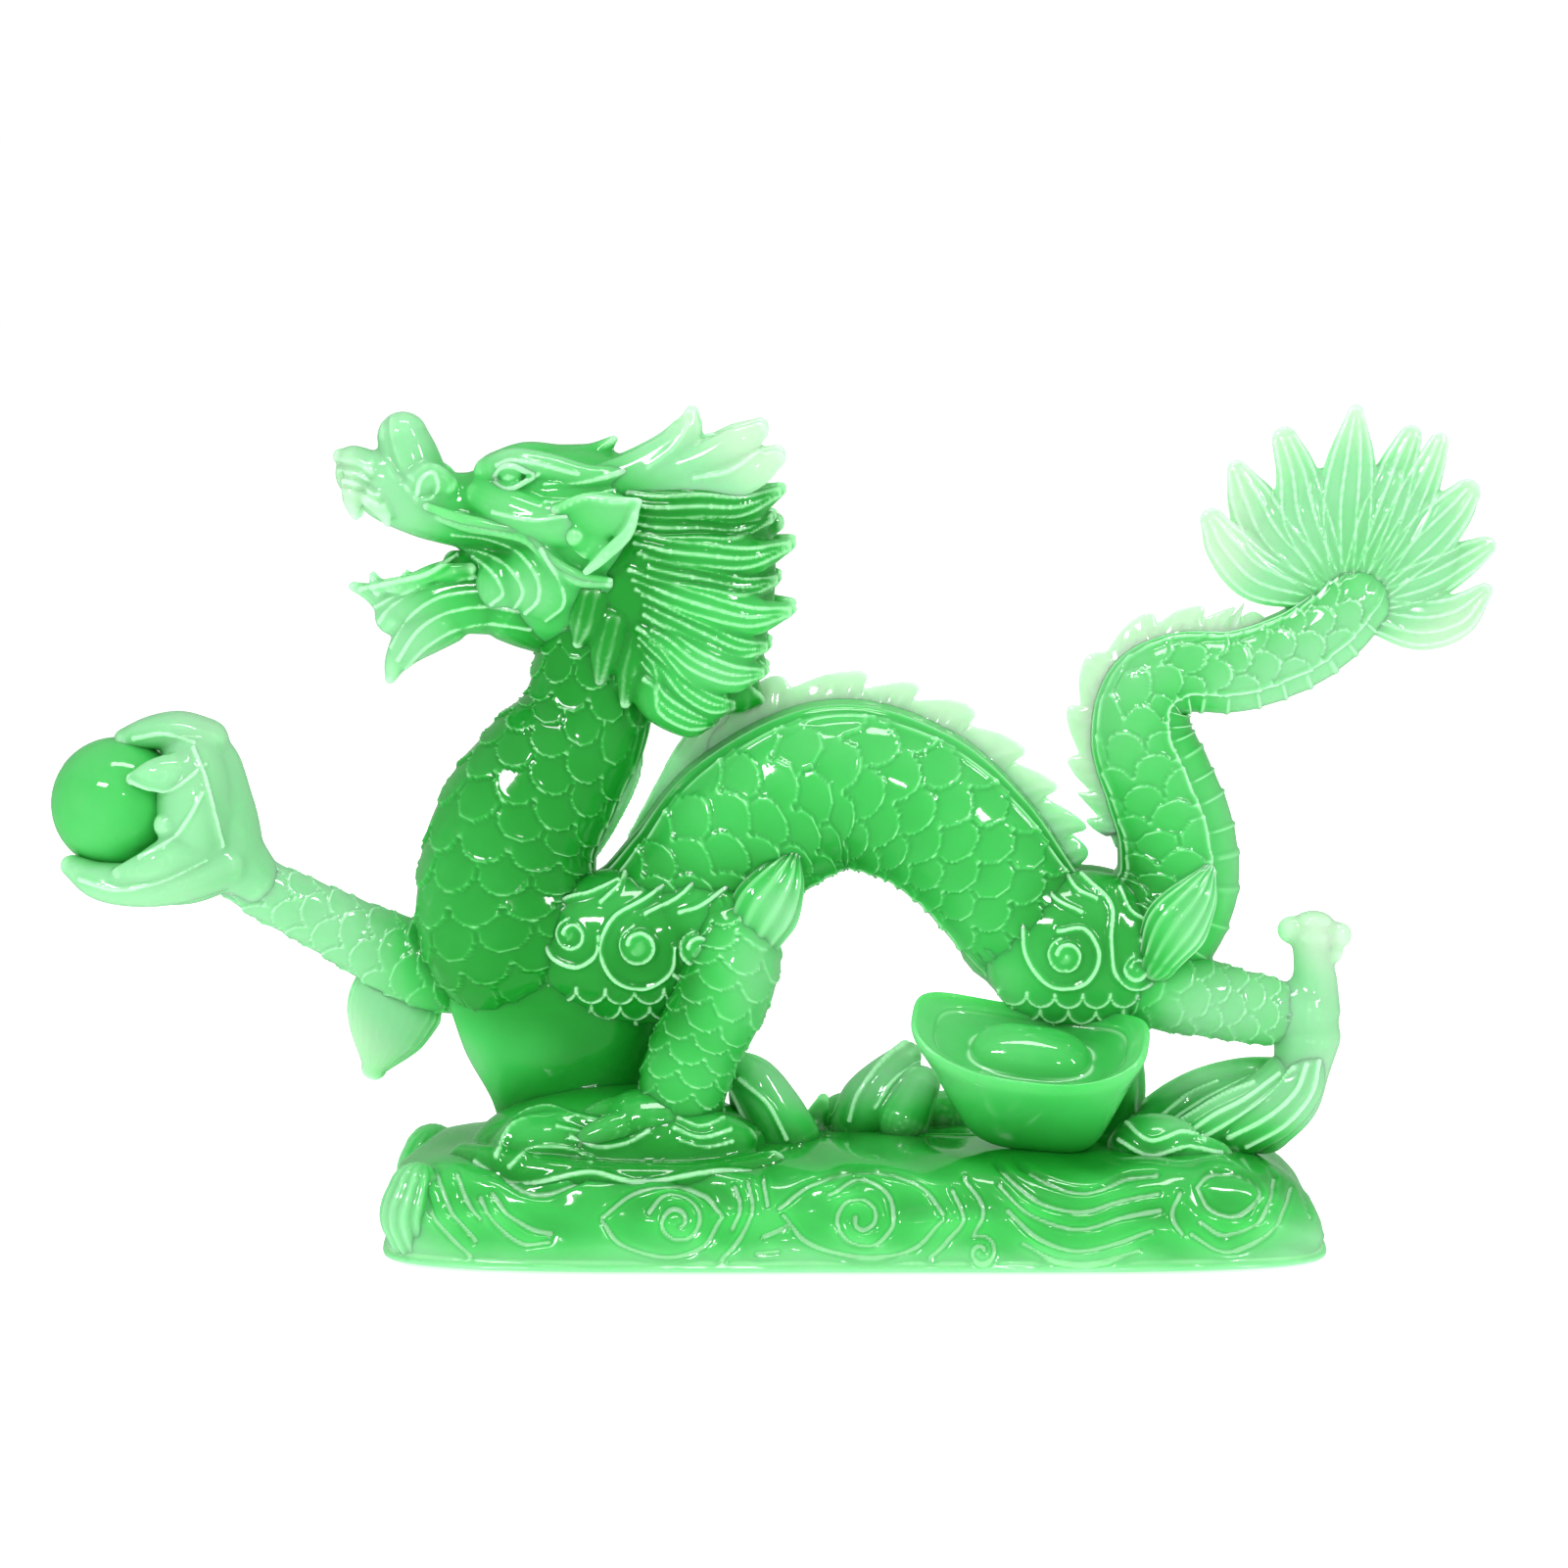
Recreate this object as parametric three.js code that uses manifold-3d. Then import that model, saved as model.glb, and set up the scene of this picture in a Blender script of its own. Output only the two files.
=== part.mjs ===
// Moulded jade dragon on a cloud base, holding a pearl, with a boat-shaped ingot under its rump.
// Millimetres, +Z up. The origin is the centre of the flat underside of the base, +X runs to the
// tail and -Y is the near side of the dragon. Every casting is one closed solid, and where two
// castings meet the later one is cut back by the bond gap.

import * as THREE from 'three';
import { mergeVertices } from 'three/addons/utils/BufferGeometryUtils.js';
import Module from 'manifold-3d';

const wasm = await Module();
wasm.setup();

// ---------------------------------------------------------------- driving dimensions

const bondGap = 0.3;

const baseLength = 110;
const baseDepth = 44;
const baseHeight = 12;

const bodyHeight = 24;          // middle of the chest and the rump above the base
const archHeight = 42.3;        // middle of the arched back above the base
const archRadius = 10.2;
const chestRadius = 11.2;
const neckRadius = 8.7;
const neckRise = 37;            // middle of the chest up to the top of the neck
const rumpRadius = 8.3;
const tailRadius = 7.2;
const tailRise = 42;            // middle of the rump up to the end of the tail
const tailTipRadius = 4.2;

const crestHeight = 3.6;
const crestThickness = 2.4;
const plumeReach = 23;
const plumeThickness = 4;

const skullRadius = 9.6;
const eyeDiameter = 4.4;
const hornRadius = 1.8;
const whiskerRadius = 1;
const maneThickness = 6;

const pearlDiameter = 15;
const armRadius = 3.9;
const fingerRadius = 1.7;

const legRadius = 5.6;          // near foreleg
const hindLegRadius = 4.2;
const stanceHalf = 8;           // side step of the shoulders and haunches from the middle plane

const ingotLength = 28;
const ingotWidth = 15;
const ingotHeight = 8;          // underside to the front rim
const ingotTipLift = 6;         // each tip above the front rim
const ingotDomeHeight = 13;     // underside to the top of the dome

// ---------------------------------------------------------------- finishes

const finishes = {
  base: { color: 0x2eb84a, roughness: 0.2 },
  cloud: { color: 0x46c561, roughness: 0.2 },
  body: { color: 0x35bd50, roughness: 0.18 },
  trim: { color: 0x8fe6a2, roughness: 0.18 },
  pearl: { color: 0x2ab646, roughness: 0.1 },
  ingot: { color: 0x3fc258, roughness: 0.14 },
};

// ---------------------------------------------------------------- solids

const at = (x, y, z) => new THREE.Vector3(x, y, z);
const above = (x, y, height) => at(x, y, baseHeight + height);
const sideways = at(0, 1, 0);
const upright = at(0, 0, 1);

function toSolid(geometry) {
  geometry.deleteAttribute('normal');
  geometry.deleteAttribute('uv');
  const merged = mergeVertices(geometry, 1e-4);
  return new wasm.Manifold(new wasm.Mesh({
    numProp: 3,
    vertProperties: new Float32Array(merged.attributes.position.array),
    triVerts: new Uint32Array(merged.index.array),
  }));
}

function toGeometry(solid) {
  const { vertProperties, triVerts } = solid.getMesh();
  const geometry = new THREE.BufferGeometry();
  geometry.setAttribute('position', new THREE.BufferAttribute(vertProperties, 3));
  geometry.setIndex(new THREE.BufferAttribute(triVerts, 1));
  return geometry;
}

const union = (solids) => solids.reduce((whole, next) => whole.add(next));

// A limb is a turned profile bent along a smooth path. Each station is [point, radius]; the ends
// are half balls, and squash narrows the section across the path's sideways direction.
function limb(stations, grow = 0, { squash = 1, sides = 10, across = sideways } = {}) {
  const path = new THREE.CatmullRomCurve3(stations.map(([point]) => point), false, 'centripetal');
  const run = path.getLength();
  const lengths = stations.map(([point], i) => (i ? point.distanceTo(stations[i - 1][0]) : 0));
  const total = lengths.reduce((sum, length) => sum + length, 0);
  const marks = lengths.map((_, i) => lengths.slice(0, i + 1).reduce((sum, l) => sum + l, 0) / total);
  const radiusAt = (t) => {
    const i = Math.min(marks.findIndex((mark) => mark >= t - 1e-9), marks.length - 1);
    if (i <= 0) return stations[0][1] + grow;
    const share = (t - marks[i - 1]) / (marks[i] - marks[i - 1]);
    return THREE.MathUtils.lerp(stations[i - 1][1], stations[i][1], share) + grow;
  };
  const steps = 2 * (stations.length - 1);
  const capSteps = 2;
  const profile = [];
  for (let i = 0; i < capSteps; i += 1) {
    const angle = (i / capSteps) * Math.PI / 2;
    profile.push(new THREE.Vector2(radiusAt(0) * Math.sin(angle), -radiusAt(0) * Math.cos(angle)));
  }
  for (let i = 0; i <= steps; i += 1) profile.push(new THREE.Vector2(radiusAt(i / steps), run * i / steps));
  for (let i = capSteps - 1; i >= 0; i -= 1) {
    const angle = (i / capSteps) * Math.PI / 2;
    profile.push(new THREE.Vector2(radiusAt(1) * Math.sin(angle), run + radiusAt(1) * Math.cos(angle)));
  }
  const geometry = new THREE.LatheGeometry(profile, sides);
  const vertices = geometry.attributes.position;
  for (let i = 0; i < vertices.count; i += 1) {
    const along = vertices.getY(i);
    const t = THREE.MathUtils.clamp(along / run, 0, 1);
    const tangent = path.getTangentAt(t);
    const side = across.clone().addScaledVector(tangent, -across.dot(tangent)).normalize();
    const up = new THREE.Vector3().crossVectors(tangent, side);
    const point = path.getPointAt(t).addScaledVector(tangent, along - t * run);
    point.addScaledVector(side, vertices.getZ(i) * squash).addScaledVector(up, vertices.getX(i));
    vertices.setXYZ(i, point.x, point.y, point.z);
  }
  return toSolid(geometry);
}

function ball(centre, radius, grow = 0, { stretch = [1, 1, 1], turn = 0, sides = 12 } = {}) {
  const geometry = new THREE.SphereGeometry(1, sides, sides / 2);
  geometry.scale(...stretch.map((ratio) => radius * ratio + grow));
  geometry.rotateY(turn);
  geometry.translate(centre.x, centre.y, centre.z);
  return toSolid(geometry);
}

// A slab is a flat outline in the X-Z plane, given thickness about the plane y.
function slab(points, y, thickness, grow = 0) {
  const shape = new THREE.Shape(points.map((point) => new THREE.Vector2(point.x, point.z)));
  const geometry = new THREE.ExtrudeGeometry(shape, {
    depth: thickness,
    bevelEnabled: grow > 0,
    bevelSize: grow,
    bevelThickness: grow,
    bevelSegments: 1,
  });
  geometry.rotateX(Math.PI / 2);
  geometry.translate(0, y + thickness / 2, 0);
  return toSolid(geometry);
}

// A leaf is a pointed slab between two points, widest near its middle.
function leaf(root, tip, width, y, thickness, grow = 0) {
  const along = tip.clone().sub(root);
  const out = at(-along.z, 0, along.x).normalize();
  const widths = [0.45, 0.9, 1, 0.7, 0];
  const edge = (sign) => widths.map((share, i) => root.clone()
    .addScaledVector(along, i / (widths.length - 1))
    .addScaledVector(out, sign * share * width / 2));
  return slab([...edge(1), ...edge(-1).reverse().slice(1)], y, thickness, grow);
}

// ---------------------------------------------------------------- lines of the body

const chestAt = above(-40.5, 0, bodyHeight);
const archAt = above(-2.5, 0, archHeight);
const rumpAt = above(27.5, 0, bodyHeight - 1.5);
const neckTop = chestAt.clone().add(at(10.5, 0, neckRise));

const neckLine = [
  [neckTop, neckRadius * 0.8],
  [neckTop.clone().add(at(-1.2, 0, -9)), neckRadius * 0.82],
  [neckTop.clone().add(at(-5, 0, -15.5)), neckRadius],
  [neckTop.clone().add(at(-10.6, 0, -24.5)), THREE.MathUtils.lerp(neckRadius, chestRadius, 0.5)],
];

const chestLine = [
  [chestAt.clone().add(at(-0.2, 0, 1)), chestRadius],
  [chestAt.clone().add(at(4, 0, -3.5)), chestRadius * 0.95],
  [chestAt.clone().add(at(10, 0, -2.5)), chestRadius * 0.9],
];

const archRun = (share, from, reach) => at(
  THREE.MathUtils.lerp(from.x, archAt.x, share),
  0,
  THREE.MathUtils.lerp(from.z, archAt.z, reach),
);
const archLine = [
  [chestAt.clone().add(at(13.5, 0, 0)), archRadius * 0.93],
  [archRun(0.55, chestAt, 0.28), archRadius * 0.95],
  [archRun(0.74, chestAt, 0.7), archRadius],
  [archAt, archRadius],
  [archRun(0.69, rumpAt, 0.9), archRadius * 0.97],
  [archRun(0.46, rumpAt, 0.64), archRadius * 0.89],
  [archRun(0.24, rumpAt, 0.28), rumpRadius],
];

const rumpLine = [
  [rumpAt.clone().add(at(-4.5, 0, 2.5)), rumpRadius],
  [rumpAt.clone(), rumpRadius],
  [rumpAt.clone().add(at(6, 0, 1)), rumpRadius * 0.95],
];

const tailUp = (x, share, radius) => [at(x, 0, rumpAt.z + share * tailRise), radius];
const tailLine = [
  tailUp(rumpAt.x + 10.2, 0.16, tailRadius),
  tailUp(rumpAt.x + 10.4, 0.33, tailRadius * 0.97),
  tailUp(rumpAt.x + 8.2, 0.48, tailRadius * 0.91),
  tailUp(rumpAt.x + 6.2, 0.62, tailRadius * 0.83),
  tailUp(rumpAt.x + 7.6, 0.755, tailRadius * 0.76),
  tailUp(rumpAt.x + 12, 0.81, tailTipRadius * 1.2),
  tailUp(rumpAt.x + 17.5, 0.81, tailTipRadius * 1.15),
  tailUp(rumpAt.x + 25, 0.885, tailTipRadius * 1.12),
  tailUp(rumpAt.x + 31, 1, tailTipRadius),
];

// A crest is a slab of backswept points that stands on the outer side of a body line.
function crest(line, from, to, teeth, side, grow) {
  const path = new THREE.CatmullRomCurve3(line.map(([point]) => point), false, 'centripetal');
  const inner = [];
  const outer = [];
  for (let i = 0; i <= teeth; i += 1) {
    const t = THREE.MathUtils.lerp(from, to, i / teeth);
    const tangent = path.getTangentAt(t);
    const out = at(-tangent.z, 0, tangent.x).multiplyScalar(side);
    const place = t * (line.length - 1);
    const radius = line[Math.min(Math.round(place), line.length - 1)][1];
    const foot = path.getPointAt(t);
    inner.push(foot.clone().addScaledVector(out, radius * 0.7));
    outer.push(foot.clone().addScaledVector(out, radius + crestHeight * 0.35));
    if (i < teeth) {
      const lean = (to - from) / teeth * path.getLength() * 0.9;
      outer.push(foot.clone().addScaledVector(out, radius + crestHeight).addScaledVector(tangent, lean));
    }
  }
  return slab([...outer, ...inner.reverse()], 0, crestThickness, grow);
}

// ---------------------------------------------------------------- base, clouds and ingot

function cloudBase(grow) {
  const half = baseLength / 2;
  const deep = baseDepth / 2;
  const shape = new THREE.Shape();
  shape.moveTo(-half, -deep * 0.45);
  shape.bezierCurveTo(-half * 0.97, -deep * 0.9, -half * 0.8, -deep, -half * 0.55, -deep);
  shape.lineTo(half * 0.55, -deep);
  shape.bezierCurveTo(half * 0.8, -deep, half * 0.97, -deep * 0.9, half, -deep * 0.45);
  shape.lineTo(half, deep * 0.45);
  shape.bezierCurveTo(half * 0.97, deep * 0.9, half * 0.8, deep, half * 0.55, deep);
  shape.lineTo(-half * 0.55, deep);
  shape.bezierCurveTo(-half * 0.8, deep, -half * 0.97, deep * 0.9, -half, deep * 0.45);
  const round = 2;
  const geometry = new THREE.ExtrudeGeometry(shape, {
    depth: baseHeight - round,
    curveSegments: 6,
    bevelEnabled: true,
    bevelSize: round,
    bevelThickness: round,
    bevelOffset: grow - round,
    bevelSegments: 2,
  });
  const floor = -grow;
  const solid = toSolid(geometry).translate([0, 0, grow]);
  return solid.trimByPlane([0, 0, 1], floor);
}

function frontCloud(grow) {
  return union([
    ball(above(-25, -2, 0), 12, grow, { stretch: [1.65, 1.4, 0.42] }),
    ball(above(-38, -8, 0), 7, grow, { stretch: [1, 0.9, 0.62] }),
  ]);
}

const frontLobe = (grow) => limb([
  [above(-14.5, -6, 9.5), 1.6],
  [above(-11.2, -6, 5), 2.4],
  [above(-7.5, -6, 0.5), 3],
], grow);

const rearCloud = (grow) => ball(above(4, 6, 3.5), 5, grow, { stretch: [1, 0.9, 1.5], turn: 0.25 });


// The ingot is a turned bowl with a domed middle, drawn out along X with both tips lifted.
function ingot(grow) {
  const rim = ingotWidth / 2;
  const well = ingotHeight * 0.8;
  const bowl = [
    [0, 0], [0.52, 0], [0.72, ingotHeight * 0.2], [0.9, ingotHeight * 0.62], [1, ingotHeight],
    [0.86, ingotHeight], [0.64, well], [0.52, (well + ingotDomeHeight) / 2],
    [0.3, ingotDomeHeight * 0.95], [0, ingotDomeHeight],
  ];
  const profile = bowl.map(([out, up]) => new THREE.Vector2(
    out * rim + (out ? grow : 0),
    up + (up < ingotHeight / 2 ? -grow : grow),
  ));
  const geometry = new THREE.LatheGeometry(profile, 18);
  geometry.rotateX(Math.PI / 2);
  const vertices = geometry.attributes.position;
  for (let i = 0; i < vertices.count; i += 1) {
    const x = vertices.getX(i) * ingotLength / ingotWidth;
    const reach = Math.min(Math.abs(x) / (ingotLength / 2), 1);
    const lift = ingotTipLift * reach ** 2 * THREE.MathUtils.clamp(vertices.getZ(i) / ingotHeight, 0, 1);
    vertices.setXYZ(i, x, vertices.getY(i), vertices.getZ(i) + lift);
  }
  geometry.rotateZ(-0.12);
  const middle = above(rumpAt.x - 6.5, -baseDepth / 2 + ingotWidth * 0.85, bondGap);
  geometry.translate(middle.x, middle.y, middle.z);
  return toSolid(geometry);
}

const chestSupport = (grow) => limb([
  [chestAt.clone().add(at(6, 1, -9)), 9.5],
  [above(-33, 1, 7), 8],
  [above(-32, 1, 1), 8.5],
], grow, { squash: 0.8 });

const rumpSupport = (grow) => limb([
  [rumpAt.clone().add(at(-3, 1, -4)), 6],
  [above(rumpAt.x - 1, 3, 9), 5],
  [above(rumpAt.x, 4, 1), 5.5],
], grow, { squash: 0.8 });

// ---------------------------------------------------------------- head, in its own measure

const headAt = neckTop.clone().add(at(-6, 0, 11));
const onHead = (x, y, z) => headAt.clone().add(at(x, y, z));

const skull = (grow) => limb([
  [onHead(9, 0, -2), skullRadius * 0.9],
  [onHead(1, 0, 1), skullRadius],
  [onHead(-8, 0, 4), skullRadius * 0.68],
  [onHead(-15, 0, 7), skullRadius * 0.42],
], grow, { squash: 0.85 });

const snout = (grow) => union([
  limb([
    [onHead(-15.5, 0, 8), 4],
    [onHead(-19.5, 0, 9.5), 3.6],
    [onHead(-22.2, 0, 8.2), 2.6],
  ], grow, { squash: 1.1 }),
  ball(onHead(-16.6, 0, 13), 3, grow),
]);

const lowerJaw = (grow) => limb([
  [onHead(-1, 0, -8), 5.6],
  [onHead(-9, 0, -6.6), 4.2],
  [onHead(-17, 0, -6.4), 2.6],
  [onHead(-20.6, 0, -5), 1.2],
], grow, { squash: 1.15 });

const tongue = (grow) => limb([
  [onHead(-7, 0, -1.6), 1.4],
  [onHead(-12.5, 0, -2.4), 1.3],
  [onHead(-16.5, 0, -2.2), 0.8],
], grow, { squash: 1.6, sides: 6 });

const beard = (grow) => limb([
  [onHead(-12, 0, -10), 1.8],
  [onHead(-15.5, 0, -13), 1.6],
  [onHead(-17.6, 0, -17), 0.9],
], grow, { squash: 1.4, sides: 6 });

const eye = (side) => (grow) => ball(
  onHead(-3, side * skullRadius * 0.72, 7.2), eyeDiameter / 2, grow, { sides: 10 });

const ear = (side) => (grow) => leaf(
  onHead(-1.5, 0, -2), onHead(11, 0, 6), 5.6, side * (skullRadius * 0.86 + 1.4), 2.4, grow);

const horn = (side) => (grow) => union([
  limb([
    [onHead(3, side * 4, 6.5), hornRadius * 1.3],
    [onHead(10, side * 5.5, 9.5), hornRadius * 1.15],
    [onHead(14, side * 6, 13), hornRadius],
    [onHead(15.6, side * 6, 16), hornRadius * 0.7],
  ], grow, { sides: 6 }),
  limb([
    [onHead(10, side * 5.5, 9.5), hornRadius * 1.1],
    [onHead(18, side * 6, 11.5), hornRadius],
    [onHead(22, side * 6, 13), hornRadius * 0.8],
  ], grow, { sides: 6 }),
]);

const whisker = (side) => (grow) => limb([
  [onHead(-13, side * 3.6, 5), whiskerRadius],
  [onHead(-6, side * 7.2, 1.6), whiskerRadius],
  [onHead(-1, side * 8.8, -2), whiskerRadius],
  [onHead(3.5, side * 9.6, -4.5), whiskerRadius * 0.8],
], grow, { sides: 6, across: upright });

// The mane is a fan of backswept locks on each side of the head.
function mane(side, grow) {
  const tips = [
    [26, 8.5], [22, 6.5], [28, 4], [23.5, 1], [28.5, -1.5], [23.5, -5], [27, -9.5],
    [21.5, -10.5], [24, -14], [16, -15], [17.5, -18.5], [11, -17.5],
  ];
  const edge = tips.map(([x, z]) => onHead(x, 0, z));
  const root = [onHead(-1, 0, -14), onHead(2, 0, -6), onHead(4, 0, 6.5), onHead(12, 0, 7.5)];
  return slab([...root, ...edge], side * (maneThickness / 2 + bondGap / 2), maneThickness, grow);
}

const crown = (grow) => limb([
  [onHead(-6, 0, 9), 2.6],
  [onHead(1, 0, 10), 2.8],
  [onHead(8, 0, 9.5), 1.8],
], grow, { squash: 1.6 });

// ---------------------------------------------------------------- pearl and the arm that holds it

const pearlAt = above(-87, 0, 40);
const grip = pearlDiameter / 2 + bondGap + fingerRadius;
const aroundPearl = (angle, y, out = 1) => pearlAt.clone()
  .add(at(grip * out * Math.cos(angle), y, grip * out * Math.sin(angle)));

const pearl = (grow) => ball(pearlAt, pearlDiameter / 2, grow, { sides: 20 });

const shoulderFar = chestAt.clone().add(at(-3, stanceHalf * 0.6, -5.5));
const elbowFar = chestAt.clone().add(at(-12, stanceHalf * 0.8, -4.5));
const wrist = aroundPearl(-0.62, 1, 1.45);

const farUpperArm = (grow) => limb([
  [shoulderFar, armRadius * 1.5],
  [elbowFar, armRadius * 1.05],
], grow);

const farForearm = (grow) => limb([
  [elbowFar.clone().add(at(-4, -0.5, 1)), armRadius],
  [elbowFar.clone().lerp(wrist, 0.55), armRadius * 0.82],
  [wrist.clone().add(at(1.5, 0, -1)), armRadius * 0.68],
], grow);

function farHand(grow) {
  const digit = (angles, y, radius) => limb(
    angles.map((angle, i) => [aroundPearl(angle, y), radius * (1 - 0.2 * i / (angles.length - 1))]),
    grow, { sides: 6 });
  return union([
    limb([[wrist, armRadius * 0.7], [aroundPearl(-0.25, 0, 1.1), 3.4], [aroundPearl(0.35, 0, 1.1), 3]], grow),
    digit([0.3, 0.8, 1.3, 1.8], 0, fingerRadius),
    digit([-0.4, -0.95, -1.5, -2.1], 2.2, fingerRadius),
    digit([-0.4, -0.95, -1.5, -2.0], -2.6, fingerRadius),
  ]);
}

const farElbowTuft = (grow) => leaf(
  elbowFar.clone().add(at(3, 0, -3)), elbowFar.clone().add(at(-4.5, 0, -14.5)), 8.5, elbowFar.y, 2.6, grow);

// ---------------------------------------------------------------- near foreleg

const shoulderNear = chestAt.clone().add(at(14, -stanceHalf, -2));
const elbowNear = shoulderNear.clone().add(at(10, -1.5, -4));
const ankleNear = above(-21, -stanceHalf - 1.5, 7.5);

const nearShoulder = (grow) => limb([
  [shoulderNear.clone().add(at(-4, 1, 1)), legRadius * 1.15],
  [shoulderNear, legRadius * 1.35],
  [elbowNear, legRadius * 1.1],
], grow);

const nearForearm = (grow) => limb([
  [elbowNear.clone().add(at(-0.5, -0.5, -3)), legRadius * 1.05],
  [elbowNear.clone().lerp(ankleNear, 0.6), legRadius * 0.95],
  [ankleNear, legRadius * 0.8],
], grow);

function nearForefoot(grow) {
  const toe = (spread) => limb([
    [ankleNear.clone().add(at(-4, spread * 1.5, -3.4)), 2.6],
    [ankleNear.clone().add(at(-11, spread * 3.6, -4.2)), 2.1],
    [ankleNear.clone().add(at(-16.5, spread * 4.6, -6.4)), 1.3],
  ], grow, { sides: 6 });
  return union([
    ball(ankleNear.clone().add(at(-3, 0, -3)), 5, grow, { stretch: [1.2, 1, 0.7] }),
    ...[-1, 0, 1].map(toe),
  ]);
}

const nearElbowTuft = (grow) => leaf(
  elbowNear.clone().add(at(0.5, 0, 2)), elbowNear.clone().add(at(8.5, 0, 16)), 7, elbowNear.y, 4, grow);

// ---------------------------------------------------------------- hind legs

const hindFootAt = above(baseLength / 2 - 8, -2, 3);   // the hind foot keeps to the end of the base
const hockAt = rumpAt.clone().add(at(26.5, -2, -7));

const nearHaunch = (grow) => ball(
  rumpAt.clone().add(at(-0.5, -stanceHalf * 0.9, 0.6)), rumpRadius * 0.95, grow, { stretch: [1.15, 0.8, 1] });

const farHaunch = (grow) => ball(
  rumpAt.clone().add(at(-0.5, stanceHalf * 0.9, 0.6)), rumpRadius * 0.95, grow, { stretch: [1.15, 0.8, 1] });

const hindLeg = (grow) => limb([
  [rumpAt.clone().add(at(7, -2, -4)), hindLegRadius * 1.15],
  [rumpAt.clone().add(at(16, -2, -5.6)), hindLegRadius],
  [hockAt, hindLegRadius * 0.95],
], grow);

const hindShank = (grow) => limb([
  [hockAt.clone().add(at(0.4, 0, -3)), hindLegRadius * 0.85],
  [hockAt.clone().lerp(hindFootAt, 0.6).add(at(1.5, 0, 0)), hindLegRadius * 0.8],
  [hindFootAt.clone().add(at(1.5, 0, 1)), hindLegRadius * 0.75],
], grow);

function hindFoot(grow) {
  const toe = (spread) => limb([
    [hindFootAt.clone().add(at(-1, spread, 0)), 2.2],
    [hindFootAt.clone().add(at(-5.5, spread * 3.2, 0.4)), 1.7],
    [hindFootAt.clone().add(at(-9.5, spread * 4.2, -1.2)), 1],
  ], grow, { sides: 6 });
  return union([
    ball(hindFootAt.clone().add(at(0.5, 0, -0.6)), 3.4, grow, { stretch: [1.2, 1, 0.9] }),
    ...[-1, 0, 1].map(toe),
  ]);
}

// A small cloud lies under the toes of the hind foot.
const hindCloud = (grow) => ball(
  hindFootAt.clone().add(at(-11, 5, -2.5)), 5, grow, { stretch: [0.9, 1.4, 0.8] });

const heelSpur = (grow) => union([
  limb([
    [hockAt.clone().add(at(0.8, 0, 2)), 2.6],
    [hockAt.clone().add(at(0.4, 0, 8.5)), 2.2],
  ], grow, { sides: 6 }),
  limb([
    [hockAt.clone().add(at(-1.6, 0, 9.6)), 1.5],
    [hockAt.clone().add(at(3, 0, 9.2)), 1.5],
  ], grow, { sides: 6 }),
]);

const hindTuft = (grow) => leaf(
  rumpAt.clone().add(at(5.5, 0, -0.5)), rumpAt.clone().add(at(14, 0, 10)), 7,
  -tailRadius - 1.6, 3, grow);

// ---------------------------------------------------------------- tail plume and nape fin

// The plume is a flat fan of flame petals. Each petal is [angle in degrees, share of the reach].
function tailPlume(grow) {
  const root = tailLine[tailLine.length - 1][0];
  const petals = [
    [162, 0.55], [145, 0.82], [131, 0.98], [112, 0.92], [91, 1.04], [71, 0.94],
    [60, 0.98], [44, 0.86], [22, 0.84], [8, 0.72], [-24, 0.56],
  ];
  const polar = (degrees, reach) => {
    const angle = THREE.MathUtils.degToRad(degrees);
    return root.clone().add(at(Math.cos(angle) * reach, 0, Math.sin(angle) * reach));
  };
  const points = [polar(-70, 3)];
  petals.slice().reverse().forEach(([angle, share], i, row) => {
    points.push(polar(angle, plumeReach * share));
    const next = row[i + 1];
    if (next) points.push(polar((angle + next[0]) / 2, plumeReach * 0.8 * Math.min(share, next[1])));
  });
  points.push(polar(190, 3));
  return slab(points, 0, plumeThickness, grow);
}

// The nape fin is the web between the back of the neck and the rising back.
const napeFin = (grow) => slab([
  neckLine[3][0].clone().add(at(6, 0, -3)),
  archLine[1][0].clone().add(at(-2, 0, 2)),
  archLine[2][0].clone().add(at(-4, 0, 7)),
  archLine[2][0].clone().add(at(-1, 0, archRadius * 1.25)),
  neckLine[1][0].clone().add(at(6, 0, -1)),
  neckLine[2][0].clone().add(at(7, 0, -2)),
], 0, 2, grow);

// ---------------------------------------------------------------- assembly

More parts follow.
